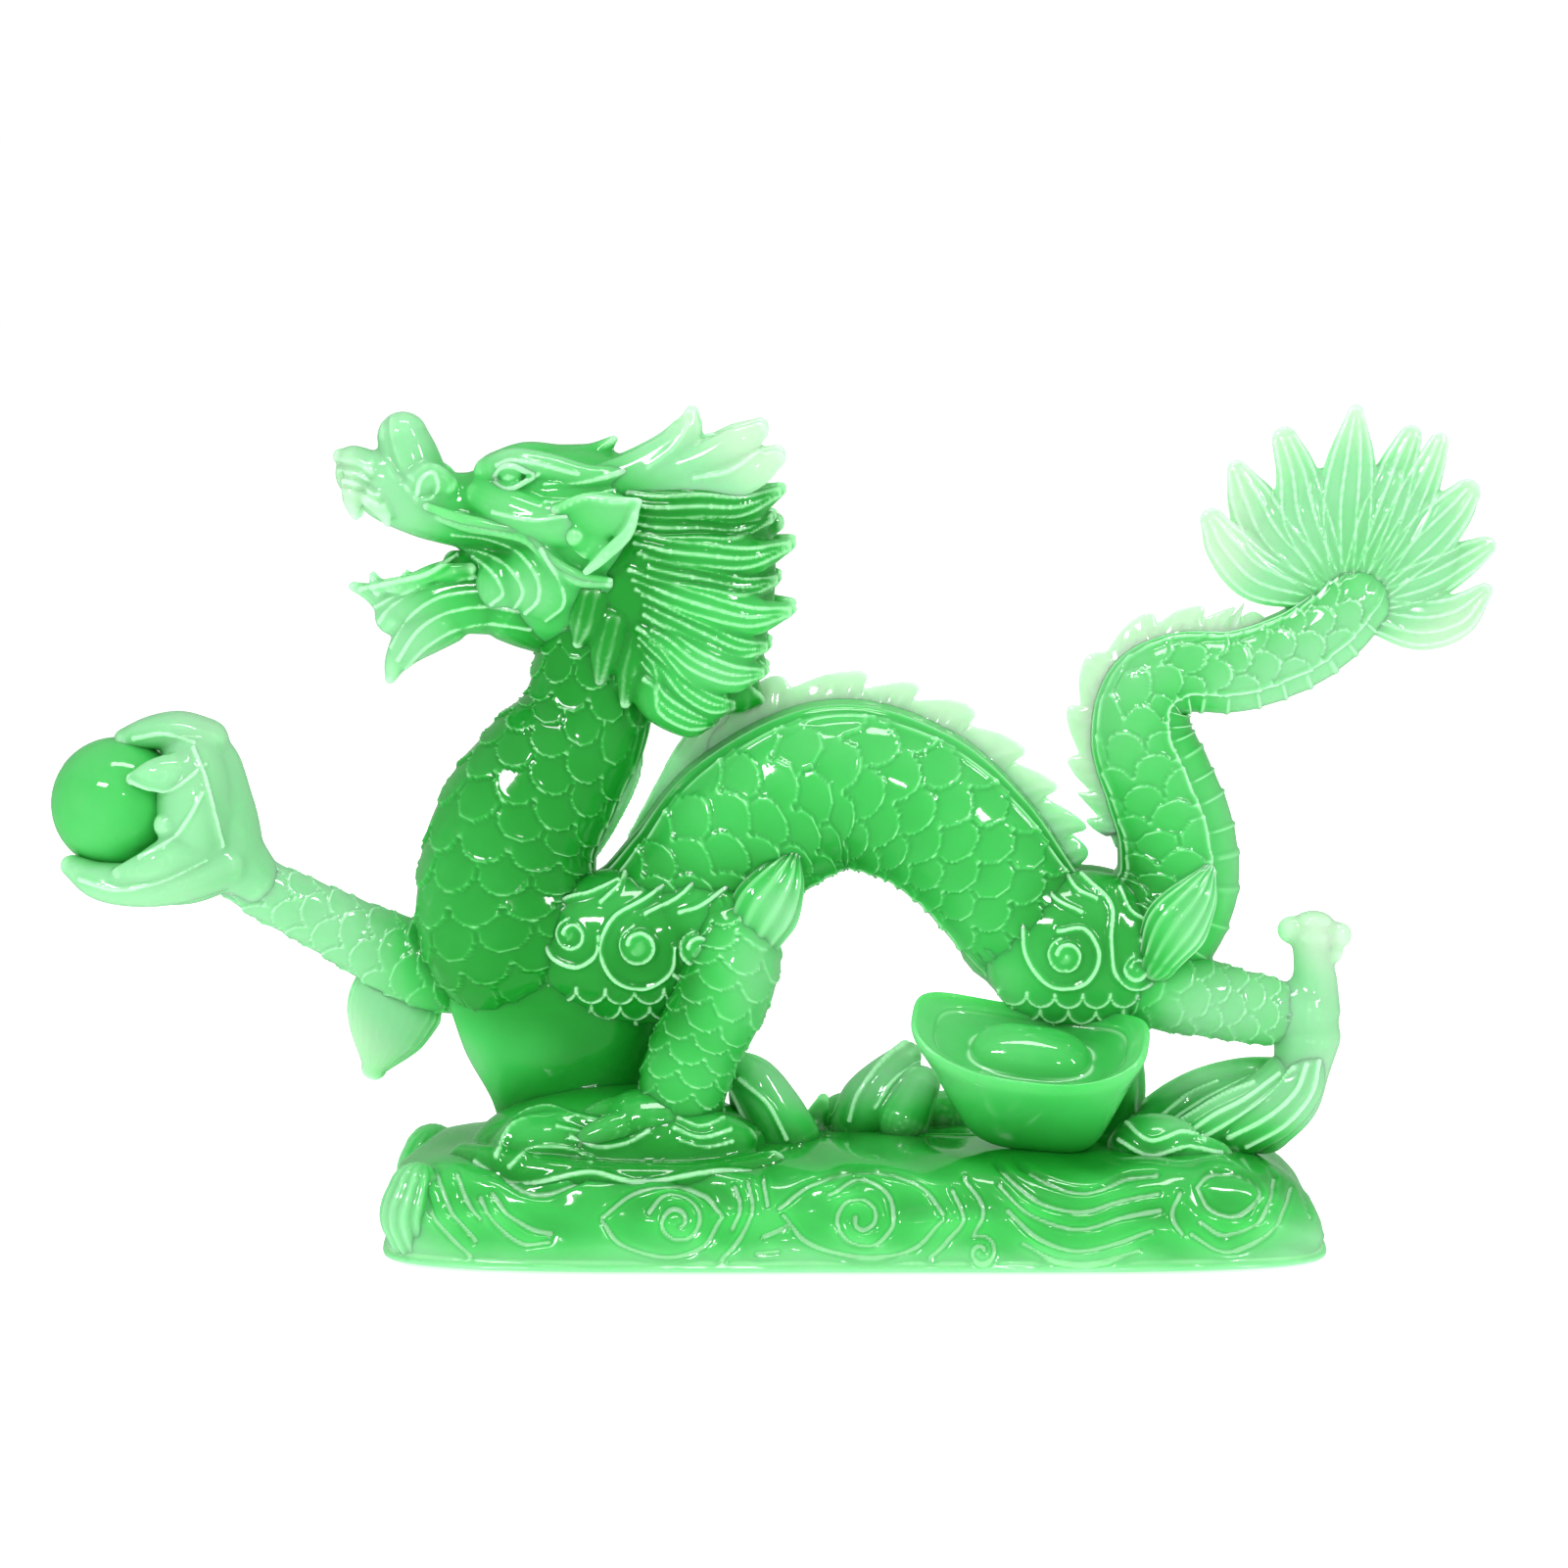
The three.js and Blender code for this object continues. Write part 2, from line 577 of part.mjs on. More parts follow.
// Each row is [node, finish, solid maker]. A casting is cut by every row above it.
const castings = [
  ['cloud_base', 'base', cloudBase],
  ['ingot', 'ingot', ingot],
  ['pearl', 'pearl', pearl],
  ['eye_near', 'trim', eye(-1)],
  ['eye_far', 'trim', eye(1)],
  ['chest', 'body', (grow) => limb(chestLine, grow)],
  ['neck', 'body', (grow) => limb(neckLine, grow)],
  ['back_arch', 'body', (grow) => limb(archLine, grow)],
  ['rump', 'body', (grow) => limb(rumpLine, grow)],
  ['tail', 'body', (grow) => limb(tailLine, grow)],
  ['skull', 'body', skull],
  ['snout', 'body', snout],
  ['lower_jaw', 'body', lowerJaw],
  ['tongue', 'trim', tongue],
  ['head_crown', 'body', crown],
  ['near_shoulder', 'body', nearShoulder],
  ['near_forearm', 'body', nearForearm],
  ['near_forefoot', 'body', nearForefoot],
  ['near_haunch', 'body', nearHaunch],
  ['far_haunch', 'body', farHaunch],
  ['far_upper_arm', 'body', farUpperArm],
  ['far_forearm', 'body', farForearm],
  ['far_hand', 'trim', farHand],
  ['hind_leg', 'body', hindLeg],
  ['hind_shank', 'body', hindShank],
  ['hind_foot', 'trim', hindFoot],
  ['chest_support', 'body', chestSupport],
  ['rump_support', 'body', rumpSupport],
  ['front_cloud', 'cloud', frontCloud],
  ['front_cloud_lobe', 'cloud', frontLobe],
  ['rear_cloud', 'cloud', rearCloud],
  ['hind_cloud', 'cloud', hindCloud],
  ['heel_spur', 'trim', heelSpur],
  ['near_elbow_tuft', 'trim', nearElbowTuft],
  ['far_elbow_tuft', 'trim', farElbowTuft],
  ['hind_tuft', 'trim', hindTuft],
  ['tail_plume', 'trim', tailPlume],
  ['back_crest', 'trim', (grow) => crest(archLine, 0.4, 0.97, 9, 1, grow)],
  ['tail_crest', 'trim', (grow) => crest(tailLine, 0.08, 0.68, 8, 1, grow)],
  ['nape_fin', 'trim', napeFin],
  ['beard', 'trim', beard],
  ['ear_near', 'trim', ear(-1)],
  ['ear_far', 'trim', ear(1)],
  ['horn_near', 'trim', horn(-1)],
  ['horn_far', 'trim', horn(1)],
  ['whisker_near', 'trim', whisker(-1)],
  ['whisker_far', 'trim', whisker(1)],
  ['mane_near', 'body', (grow) => mane(-1, grow)],
  ['mane_far', 'body', (grow) => mane(1, grow)],
];

const dragon = new THREE.Group();
let filled = null;
for (const [name, finish, make] of castings) {
  const whole = make(0);
  const cut = filled ? whole.subtract(filled) : whole;
  const pieces = cut.decompose().sort((a, b) => b.volume() - a.volume());
  const material = new THREE.MeshStandardMaterial({ ...finishes[finish], metalness: 0 });
  const mesh = new THREE.Mesh(toGeometry(pieces[0]), material);
  mesh.name = name;
  dragon.add(mesh);
  const grown = make(bondGap);
  filled = filled ? filled.add(grown) : grown;
}

export default dragon;
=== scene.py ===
"""Moulded jade dragon on a cloud base: the looks around the CAD frame.

Shapes are worked out in millimetres of the design and placed by the frame: every group of forms
follows the CAD solid that it stands for, and MM turns design millimetres into metres.
"""
import math

import bpy
import numpy as np
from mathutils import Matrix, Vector
from mathutils.bvhtree import BVHTree


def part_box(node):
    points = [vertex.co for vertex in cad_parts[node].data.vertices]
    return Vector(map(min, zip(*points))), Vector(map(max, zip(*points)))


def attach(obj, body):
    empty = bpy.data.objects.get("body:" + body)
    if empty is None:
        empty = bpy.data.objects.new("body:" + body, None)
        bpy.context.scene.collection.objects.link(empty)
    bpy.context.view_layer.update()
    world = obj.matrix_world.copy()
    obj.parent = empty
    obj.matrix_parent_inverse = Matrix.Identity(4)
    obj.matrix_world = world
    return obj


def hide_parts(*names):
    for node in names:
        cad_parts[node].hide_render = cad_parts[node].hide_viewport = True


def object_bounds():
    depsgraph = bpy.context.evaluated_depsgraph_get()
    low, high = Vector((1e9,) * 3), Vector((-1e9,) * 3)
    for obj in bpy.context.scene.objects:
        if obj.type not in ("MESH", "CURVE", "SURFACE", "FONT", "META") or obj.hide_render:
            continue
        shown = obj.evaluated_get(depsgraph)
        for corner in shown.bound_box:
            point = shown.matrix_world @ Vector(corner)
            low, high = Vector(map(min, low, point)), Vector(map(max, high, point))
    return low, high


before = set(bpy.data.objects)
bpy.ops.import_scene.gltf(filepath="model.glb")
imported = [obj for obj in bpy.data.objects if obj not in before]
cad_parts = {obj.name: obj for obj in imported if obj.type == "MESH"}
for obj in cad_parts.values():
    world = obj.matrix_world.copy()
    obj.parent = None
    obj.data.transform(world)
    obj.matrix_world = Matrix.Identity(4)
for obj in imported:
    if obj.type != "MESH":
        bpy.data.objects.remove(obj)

CAD_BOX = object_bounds()
DESIGN_LENGTH = 170.9                      # millimetres from the pearl to the plume
MM = (CAD_BOX[1].x - CAD_BOX[0].x) / DESIGN_LENGTH
NEAR, FAR = -1, 1                          # the two sides of the dragon along Y
ACROSS = np.array([0.0, 1.0, 0.0])         # from its near side to its far side


# ---------------------------------------------------------------- studio

VIEW_WIDTH = 185.2                         # design millimetres that the camera takes in
VIEW_CENTRE = (86.2, 54.3)                 # from the left end and from the ground, design millimetres
VIEW_SLOPE = math.radians(6)               # how far the camera looks down
VIEW_DISTANCE = 0.62
FLOOR_REACH = 6
FLOOR_GAP = 0.0002

LAMPS = (                                  # name, place, size, watts, seen in the gloss
    ("softbox_left", (-0.28, -0.42, 0.40), (0.18, 0.06), 0.95, True),
    ("softbox_right", (0.34, -0.30, 0.34), (0.04, 0.14), 0.45, True),
    ("softbox_top", (0.00, -0.10, 0.55), (0.30, 0.07), 0.60, True),
    ("glint_front", (0.10, -0.60, 0.30), (0.03, 0.02), 0.14, True),
    ("back_glow", (0.00, 0.55, 0.10), (0.70, 0.35), 2.6, False),
)


def build_studio():
    """Pale floor, white surroundings, soft lights and the camera, slightly above the base."""
    scene = bpy.context.scene
    scene.view_settings.view_transform = "Standard"
    corner = CAD_BOX[0]
    across, up = VIEW_CENTRE
    target = Vector((corner.x + across * MM, 0, corner.z + up * MM))
    build_camera(scene, target)
    build_surroundings(scene)
    build_floor(scene, corner.z)
    for name, place, size, watts, seen in LAMPS:
        lamp = bpy.data.lights.new(name, "AREA")
        lamp.shape = "RECTANGLE"
        lamp.size, lamp.size_y = size
        lamp.energy = watts
        light = bpy.data.objects.new(name, lamp)
        light.location = place
        light.rotation_euler = (target - light.location).to_track_quat("-Z", "Y").to_euler()
        light.visible_glossy = seen
        light.visible_camera = False
        scene.collection.objects.link(light)


def build_camera(scene, target):
    back = Vector((0, -math.cos(VIEW_SLOPE), math.sin(VIEW_SLOPE)))
    camera = bpy.data.objects.new("camera", bpy.data.cameras.new("camera"))
    camera.data.sensor_width = 36
    camera.data.lens = camera.data.sensor_width * VIEW_DISTANCE / (VIEW_WIDTH * MM)
    camera.data.clip_start, camera.data.clip_end = 0.01, 20
    camera.location = target + back * VIEW_DISTANCE
    camera.rotation_euler = (-back).to_track_quat("-Z", "Y").to_euler()
    scene.collection.objects.link(camera)
    scene.camera = camera


def build_floor(scene, ground):
    """White floor that glows a little, so that no shadow falls on it; the gloss doesn't mirror it."""
    reach = FLOOR_REACH
    mesh = bpy.data.meshes.new("floor")
    mesh.from_pydata([(-reach, -reach, 0), (reach, -reach, 0), (reach, reach, 0), (-reach, reach, 0)],
                     [], [(0, 1, 2, 3)])
    paint = Graph(bpy.data.materials.new("floor_white"))
    for socket, value in (("Base Color", (0.95, 0.95, 0.95, 1)), ("Roughness", 0.9),
                          ("Emission Color", (1, 1, 1, 1)), ("Emission Strength", 0.62)):
        paint.feed(paint.shader.inputs[socket], value)
    mesh.materials.append(paint.owner)
    floor = bpy.data.objects.new("floor", mesh)
    floor.location.z = ground - FLOOR_GAP
    floor.visible_glossy = False
    scene.collection.objects.link(floor)


def build_surroundings(scene):
    """White to the camera and half as bright to the resin. The gloss mirrors an evenly lit room that
    is brighter overhead and below, tinted by the resin's own glow."""
    world = bpy.data.worlds.new("surroundings")
    graph = Graph(world, "Background")
    to_camera = graph.node("ShaderNodeLightPath", output="Is Camera Ray")
    to_gloss = graph.node("ShaderNodeLightPath", output="Is Glossy Ray")
    way = graph.node("ShaderNodeTexCoord", output="Generated")
    height = graph.node("ShaderNodeSeparateXYZ", None, {0: way}, "Z")
    room = 0.50
    for start, stop, bright in ((0.15, 0.75, 0.70), (-0.35, -0.60, 0.60)):
        room = graph.within(height, start, stop, 0.06, bright).at_least(room)
    light = graph.node("ShaderNodeMix", None, {"Factor": to_gloss, "A": 0.50, "B": room})
    light = graph.node("ShaderNodeMix", None, {"Factor": to_camera, "A": light, "B": 1.0})
    graph.feed(graph.shader.inputs["Strength"], light)
    graph.feed(graph.shader.inputs["Color"], graph.blend(to_gloss, (1, 1, 1, 1), (0.55, 1, 0.60, 1)))
    world.cycles.sampling_method = "NONE"
    scene.world = world


# ---------------------------------------------------------------- shader maths

class Value:
    """A socket that can be used in Python sums; every sum adds its Math node."""

    def __init__(self, graph, socket):
        self.graph, self.socket = graph, socket

    def _with(self, operation, other, swapped=False):
        pair = (other, self) if swapped else (self, other)
        return self.graph.node("ShaderNodeMath", {"operation": operation}, dict(enumerate(pair)))

    def __add__(self, other):
        return self._with("ADD", other)

    def __sub__(self, other):
        return self._with("SUBTRACT", other)

    def __mul__(self, other):
        return self._with("MULTIPLY", other)

    def at_least(self, other):
        return self._with("MAXIMUM", other)

    def __radd__(self, other):
        return self._with("ADD", other, True)

    def __rsub__(self, other):
        return self._with("SUBTRACT", other, True)

    def __rmul__(self, other):
        return self._with("MULTIPLY", other, True)


class Graph:
    """The node tree of one finish or of the surroundings."""

    def __init__(self, owner, shader="Principled BSDF"):
        owner.use_nodes = True
        self.owner, self.tree = owner, owner.node_tree
        self.shader = self.tree.nodes[shader]

    def node(self, kind, settings=None, inputs=None, output=0):
        """Adds a node, applies its settings, then its socket values or links."""
        made = self.tree.nodes.new(kind)
        for key, setting in (settings or {}).items():
            setattr(made, key, setting)
        for key, value in (inputs or {}).items():
            self.feed(made.inputs[key], value)
        return Value(self, made.outputs[output])

    def feed(self, socket, value):
        if isinstance(value, Value):
            self.tree.links.new(value.socket, socket)
        else:
            socket.default_value = value

    def within(self, value, low, high, bottom=0.0, top=1.0):
        """Smooth step of a value, from bottom at low to top at high."""
        return self.node("ShaderNodeMapRange", {"interpolation_type": "SMOOTHSTEP"},
                         {"Value": value, "From Min": low, "From Max": high, "To Min": bottom, "To Max": top})

    def blend(self, share, first, second):
        """Mix of two colours."""
        return self.node("ShaderNodeMix", {"data_type": "RGBA"}, {0: share, 6: first, 7: second}, 2)


# clear, pale, middle and deep green, and the pale green of the painted highlight along sharp ridges
TINTS = ((0.58, 0.77, 0.58), (0.31, 0.72, 0.38), (0.072, 0.61, 0.125), (0.011, 0.32, 0.026),
         (0.58, 0.96, 0.64))

FINISHES = {}


def jade_finish(name, shift, roughness, contrast):
    """Cast resin: saturated where much solid lies behind the skin, pale and nearly clear where it is
    thin, with a painted highlight along every sharp ridge: a pale tint and a faint painted glow. Shift
    thins the resin of a whole finish, and contrast says how much more of it a thick place shows than a thin
    one."""
    clear, pale, middle, deep, painted_glint = [(*tint, 1) for tint in TINTS]
    material = bpy.data.materials.new(name)
    graph = Graph(material)
    place = graph.node("ShaderNodeTexCoord", output="Object")
    clouds = graph.node("ShaderNodeTexNoise", {"noise_dimensions": "3D"},
                        {"Vector": place, "Scale": 70.0, "Detail": 3.0})
    grain = graph.node("ShaderNodeTexNoise", {"noise_dimensions": "3D"},
                       {"Vector": place, "Scale": 420.0, "Detail": 2.0})
    ridge = graph.node("ShaderNodeAttribute", {"attribute_name": "ridge"}, output="Fac")
    solid = graph.node("ShaderNodeAttribute", {"attribute_name": "solid"}, output="Fac")
    depth = solid * contrast - shift + (clouds - 0.5) * 0.12
    thin = graph.blend(graph.within(depth, -0.08, 0.12), clear, pale)
    shallow = graph.blend(graph.within(depth, 0.12, 0.33), thin, middle)
    thick = graph.blend(graph.within(depth, 0.26, 0.50), shallow, deep)
    # share of the painted highlight: it grows with how sharp the ridge is
    edge = graph.within(ridge, 0.15, 1.1)
    bump = graph.node("ShaderNodeBump", None, {"Height": grain, "Strength": 0.08, "Distance": 0.0003})
    shader = graph.shader
    shader.subsurface_method = "RANDOM_WALK"
    for socket, value in (
        # painted highlight: sharp ridges are tinted pale green in the base colour
        ("Base Color", graph.blend(edge * 0.5, thick, painted_glint)),
        ("Roughness", roughness + (grain - 0.5) * 0.06),
        ("Normal", bump),
        # painted glint: sharp ridges glow faintly in pale green, though no lamp is there
        ("Emission Color", graph.blend(edge, (0, 0, 0, 1), painted_glint)),
        ("Emission Strength", 0.16),
        ("Subsurface Weight", 1.0),
        ("Subsurface Radius", (0.40, 1.0, 0.48)),
        ("Subsurface Scale", 2.2 * MM),
        ("IOR", 1.5),
        ("Coat Weight", 0.5),
        ("Coat Roughness", 0.03),
    ):
        graph.feed(shader.inputs[socket], value)
    return material


def make_finishes():
    """One resin, poured in one go: the finishes differ in how much light gets through."""
    for name, shift, roughness, contrast in (
        ("jade_body", 0.0, 0.08, 1.0),
        ("jade_base", 0.08, 0.11, 1.0),
        ("jade_thin", 0.15, 0.08, 1.2),
        ("jade_limb", 0.06, 0.08, 1.0),
        ("jade_head", 0.08, 0.08, 1.0),
        ("jade_jaw", -0.05, 0.08, 1.0),
        ("jade_hair", -0.15, 0.08, 1.3),
        ("jade_edge", 0.34, 0.08, 1.0),
        ("jade_chest", -0.12, 0.08, 1.0),
        ("jade_back", 0.035, 0.08, 1.0),
        ("jade_pearl", -0.06, 0.05, 1.0),
        ("jade_ingot", -0.22, 0.07, 0.3),
    ):
        FINISHES[name] = jade_finish(name, shift, roughness, contrast)


# ---------------------------------------------------------------- surfaces

def smooth(rows, step):
    """Catmull-Rom curve through rows of numbers, evenly spaced along its first three columns."""
    rows = np.asarray(rows, float)
    ends = np.vstack([2 * rows[0] - rows[1], rows, 2 * rows[-1] - rows[-2]])
    t = np.linspace(0, len(rows) - 1, 24 * (len(rows) - 1) + 1)
    i = np.minimum(t.astype(int), len(rows) - 2)
    u = (t - i)[:, None]
    a, b, c, d = ends[i], ends[i + 1], ends[i + 2], ends[i + 3]
    dense = 0.5 * (2 * b + (c - a) * u + (2 * a - 5 * b + 4 * c - d) * u ** 2
                   + (3 * b - a - 3 * c + d) * u ** 3)
    run = np.concatenate([[0], np.cumsum(np.linalg.norm(np.diff(dense[:, :3], axis=0), axis=1))])
    along = np.linspace(0, run[-1], max(int(run[-1] / step), 4) + 1)
    return along, np.stack([np.interp(along, run, column) for column in dense.T], axis=1)


def squared(wave, power):
    """A sine or cosine to a power that keeps its sign: below 1 it squares off a round plan."""
    return np.sign(wave) * np.abs(wave) ** power


def unit(vectors):
    return vectors / np.maximum(np.linalg.norm(vectors, axis=-1, keepdims=True), 1e-9)


def closed_grid(rings, first_pole, last_pole):
    """A tube of rings closed by a pole at each end: returns (vertices, quads, triangles)."""
    count, around = rings.shape[:2]
    index = np.arange(count * around).reshape(count, around)
    ahead = np.roll(index, -1, axis=1)
    quads = np.stack([index[:-1], index[1:], ahead[1:], ahead[:-1]], axis=-1).reshape(-1, 4)
    fan = np.full(around, count * around)
    triangles = np.vstack([
        np.stack([fan, index[0], ahead[0]], axis=1),
        np.stack([fan + 1, ahead[-1], index[-1]], axis=1),
    ])
    vertices = np.vstack([rings.reshape(-1, 3), first_pole, last_pole])
    return vertices, quads, triangles


def limb(rows, wide=1.0, around=20, step=0.5, relief=None):
    """Round form along a smooth path. Each row is x, y, z, radius. A point of the skin is
    path + up * cos(a) * r + side * sin(a) * r * wide, where r is the radius plus the relief at
    (distance, angle), and half balls close the ends."""
    along, line = smooth(rows, step)
    middle, radius = line[:, :3], np.maximum(line[:, 3], 0.05)
    tangent = unit(np.gradient(middle, axis=0))
    cap = np.linspace(0, np.pi / 2, 7)[1:-1]
    lead = middle[0] - tangent[0] * radius[0] * np.cos(cap)[:, None]
    tail = middle[-1] + tangent[-1] * radius[-1] * np.cos(cap[::-1])[:, None]
    centres = np.vstack([lead, middle, tail])
    radii = np.concatenate([radius[0] * np.sin(cap), radius, radius[-1] * np.sin(cap[::-1])])
    tangents = np.vstack([np.repeat(tangent[:1], len(cap), 0), tangent, np.repeat(tangent[-1:], len(cap), 0)])
    spots = np.concatenate([-radius[0] * np.cos(cap), along, along[-1] + radius[-1] * np.cos(cap[::-1])])
    fade = np.concatenate([np.sin(cap) ** 2, np.ones(len(along)), np.sin(cap[::-1]) ** 2])
    side = unit(ACROSS - tangents * (tangents @ ACROSS)[:, None])
    up = np.cross(tangents, side)
    angle = np.linspace(0, 2 * np.pi, around, endpoint=False)
    reach = np.repeat(radii[:, None], around, 1)
    if relief is not None:
        reach = reach + relief(spots[:, None], angle[None, :]) * fade[:, None]
    rings = (centres[:, None] + up[:, None] * (np.cos(angle) * reach)[..., None]
             + side[:, None] * (np.sin(angle) * reach * wide)[..., None])
    first = middle[0] - tangent[0] * radius[0]
    last = middle[-1] + tangent[-1] * radius[-1]
    return closed_grid(rings, first, last)


def ball(x, y, z, radius, stretch=(1, 1, 1), around=24):
    """Ellipsoid: centre plus radius times stretch times the unit sphere, with poles along X."""
    turn = np.linspace(0, np.pi, around // 2 + 1)[1:-1]
    angle = np.linspace(0, 2 * np.pi, around, endpoint=False)
    sphere = np.stack(np.broadcast_arrays(
        -np.cos(turn)[:, None], np.sin(turn)[:, None] * np.sin(angle),
        np.sin(turn)[:, None] * np.cos(angle)), axis=-1)
    shape = radius * np.array(stretch, float)
    middle = np.array([x, y, z], float)
    return closed_grid(middle + sphere * shape, middle - [shape[0], 0, 0], middle + [shape[0], 0, 0])


def mirrored(shell):
    """The same form on the other side of the middle plane, with its faces turned to point out."""
    vertices, quads, triangles = shell
    return vertices * [1, -1, 1], quads[:, ::-1], triangles[:, ::-1]


def both(shell):
    return [shell, mirrored(shell)]


def on_side(shell, side):
    return shell if side == NEAR else mirrored(shell)


def joined(shells):
    """Several closed forms as one set of vertices and faces."""
    start, vertices, quads, triangles = 0, [], [], []
    for points, fours, threes in shells:
        vertices.append(points)
        quads.append(fours + start)
        triangles.append(threes + start)
        start += len(points)
    return np.vstack(vertices), np.vstack(quads), np.vstack(triangles)


def to_mesh(name, vertices, quads, triangles):
    mesh = bpy.data.meshes.new(name)
    corners = np.concatenate([quads.ravel(), triangles.ravel()]).astype(np.int32)
    sizes = np.concatenate([np.full(len(quads), 4), np.full(len(triangles), 3)]).astype(np.int32)
    mesh.vertices.add(len(vertices))
    mesh.vertices.foreach_set("co", vertices.astype(np.float32).ravel())
    mesh.loops.add(len(corners))
    mesh.loops.foreach_set("vertex_index", corners)
    mesh.polygons.add(len(sizes))
    mesh.polygons.foreach_set("loop_start", np.concatenate([[0], np.cumsum(sizes)[:-1]]).astype(np.int32))
    mesh.polygons.foreach_set("loop_total", sizes)
    mesh.update(calc_edges=True)
    return mesh


def fused(mesh, voxel):
    """One skin around every form of the mesh, on a grid of that size."""
    holder = bpy.data.objects.new("mould", mesh)
    bpy.context.scene.collection.objects.link(holder)
    remesh = holder.modifiers.new("skin", "REMESH")
    remesh.mode = "VOXEL"
    remesh.voxel_size = voxel
    skin = bpy.data.meshes.new_from_object(holder.evaluated_get(bpy.context.evaluated_depsgraph_get()))
    bpy.data.objects.remove(holder)
    bpy.data.meshes.remove(mesh)
    return skin


def read(items, field, width, kind=np.float32):
    """One field of a mesh's vertices, normals or edges, a row for each."""
    flat = np.empty(len(items) * width, kind)
    items.foreach_get(field, flat)
    return flat.reshape(-1, width)


def points_of(mesh):
    return read(mesh.vertices, "co", 3).astype(float)


def normals_of(mesh):
    return read(mesh.vertex_normals, "vector", 3).astype(float)


def edges_of(mesh):
    return read(mesh.edges, "vertices", 2, np.int32)


def neighbour_mean(values, edges, count):
    """Mean of each vertex's neighbours along the edges."""
    ends = np.concatenate([edges[:, 0], edges[:, 1]])
    others = np.concatenate([edges[:, 1], edges[:, 0]])
    share = np.maximum(np.bincount(ends, minlength=count), 1)
    total = [np.bincount(ends, weights=column[others], minlength=count) for column in values.T]
    return np.stack(total, axis=1) / share[:, None]


def put(mesh, points):
    mesh.vertices.foreach_set("co", points.astype(np.float32).ravel())
    mesh.update()


def store(mesh, name, values):
    layer = mesh.attributes.new(name, "FLOAT", "POINT")
    layer.data.foreach_set("value", values.astype(np.float32))


def chased(points, normals, lines, side=NEAR, slack=0.35):
    """Raised lines on one side of a form. Each line is (x-z points, height, width): a skin point at
    the distance d from the line, seen from that side, moves out by height * exp(-(d / width)^2)."""
    rise = np.zeros(len(points))
    facing = np.clip((normals[:, 1] * side) / slack, 0, 1)
    flat = points[:, [0, 2]]
    for route, height, width in lines:
        rows = [(x, 0, z, 0) for x, z in route]
        _, line = smooth(rows, 0.3)
        spots = line[:, [0, 2]]
        close = np.where((facing > 0) & (flat > spots.min(0) - 3 * width).all(1)
                         & (flat < spots.max(0) + 3 * width).all(1))[0]
        if len(close) == 0:
            continue
        gap = np.full(len(close), np.inf)
        for spot in spots:
            gap = np.minimum(gap, ((flat[close] - spot) ** 2).sum(1))
        swell = height * np.exp(-gap / width ** 2)
        rise[close] = np.where(np.abs(swell) > np.abs(rise[close]), swell, rise[close])
    return points + normals * (rise * facing)[:, None]


def sharpness(points, normals, edges):
    """How far each point stands out from its neighbours, twice over their mean squared distance: the
    curvature in one over millimetres, evened out along the edges."""
    squares = ((points[edges[:, 0]] - points[edges[:, 1]]) ** 2).sum(1)
    share = np.bincount(edges.ravel(), minlength=len(points))
    spacing = np.bincount(edges.ravel(), weights=np.repeat(squares, 2), minlength=len(points)) / share
    bulge = 2 * ((points - neighbour_mean(points, edges, len(points))) * normals).sum(1) / spacing
    for _ in range(2):
        bulge = 0.5 * bulge + 0.5 * neighbour_mean(bulge[:, None], edges, len(points))[:, 0]
    return np.clip(bulge, -1.5, 1.5)


CELL = 1.0                                 # grid of the solidity field, design millimetres
SPREAD = 5.0                               # reach of its blur


def blurred(field, spread):
    """Bell-curve blur along every axis of a grid."""
    reach = np.arange(-int(2.5 * spread), int(2.5 * spread) + 1)
    weight = np.exp(-0.5 * (reach / spread) ** 2)
    weight = weight / weight.sum()
    for axis in range(3):
        total = np.zeros_like(field)
        for step, share in zip(reach, weight):
            total += share * np.roll(field, step, axis=axis)
        field = total
    return field


def solidity_field():
    """How much solid lies around each place: the CAD solids as a grid of filled cells, blurred.
    It is about a half on a thick flat skin and near nothing on thin petals and tips."""
    margin = 3 * SPREAD
    low = np.array(CAD_BOX[0]) / MM - margin
    size = ((np.array(CAD_BOX[1]) / MM + margin - low) / CELL).astype(int) + 1
    filled = np.zeros(size, np.float32)
    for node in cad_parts.values():
        mesh = node.data
        corners = points_of(mesh) / MM
        faces = [tuple(face.vertices) for face in mesh.polygons]
        tree = BVHTree.FromPolygons([tuple(corner) for corner in corners], faces)
        first = np.maximum(((corners.min(0) - low) / CELL).astype(int), 0)
        last = ((corners.max(0) - low) / CELL).astype(int) + 1
        for i in range(first[0], last[0] + 1):
            for k in range(first[2], last[2] + 1):
                x, z = low[0] + (i + 0.503) * CELL, low[2] + (k + 0.507) * CELL
                hits, y = [], low[1]
                while True:
                    spot = tree.ray_cast((x, y, z), (0, 1, 0))[0]
                    if spot is None:
                        break
                    hits.append(spot.y)
                    y = spot.y + 1e-3
                for enter, leave in zip(hits[::2], hits[1::2]):
                    start = int(round((enter - low[1]) / CELL))
                    stop = max(int(round((leave - low[1]) / CELL)), start + 1)
                    filled[i, start:stop, k] = 1
    return low, blurred(filled, SPREAD / CELL)


def solidity(points):
    """The field at each point, blended between the eight cells around it."""
    low, field = SOLID
    place = (points - low) / CELL - 0.5
    cell = np.floor(place).astype(int)
    cell = np.clip(cell, 0, np.array(field.shape) - 2)
    part = np.clip(place - cell, 0, 1)
    total = np.zeros(len(points))
    for corner in np.ndindex(2, 2, 2):
        share = np.prod(np.where(corner, part, 1 - part), axis=1)
        x, y, z = (cell + corner).T
        total += share * field[x, y, z]
    return total


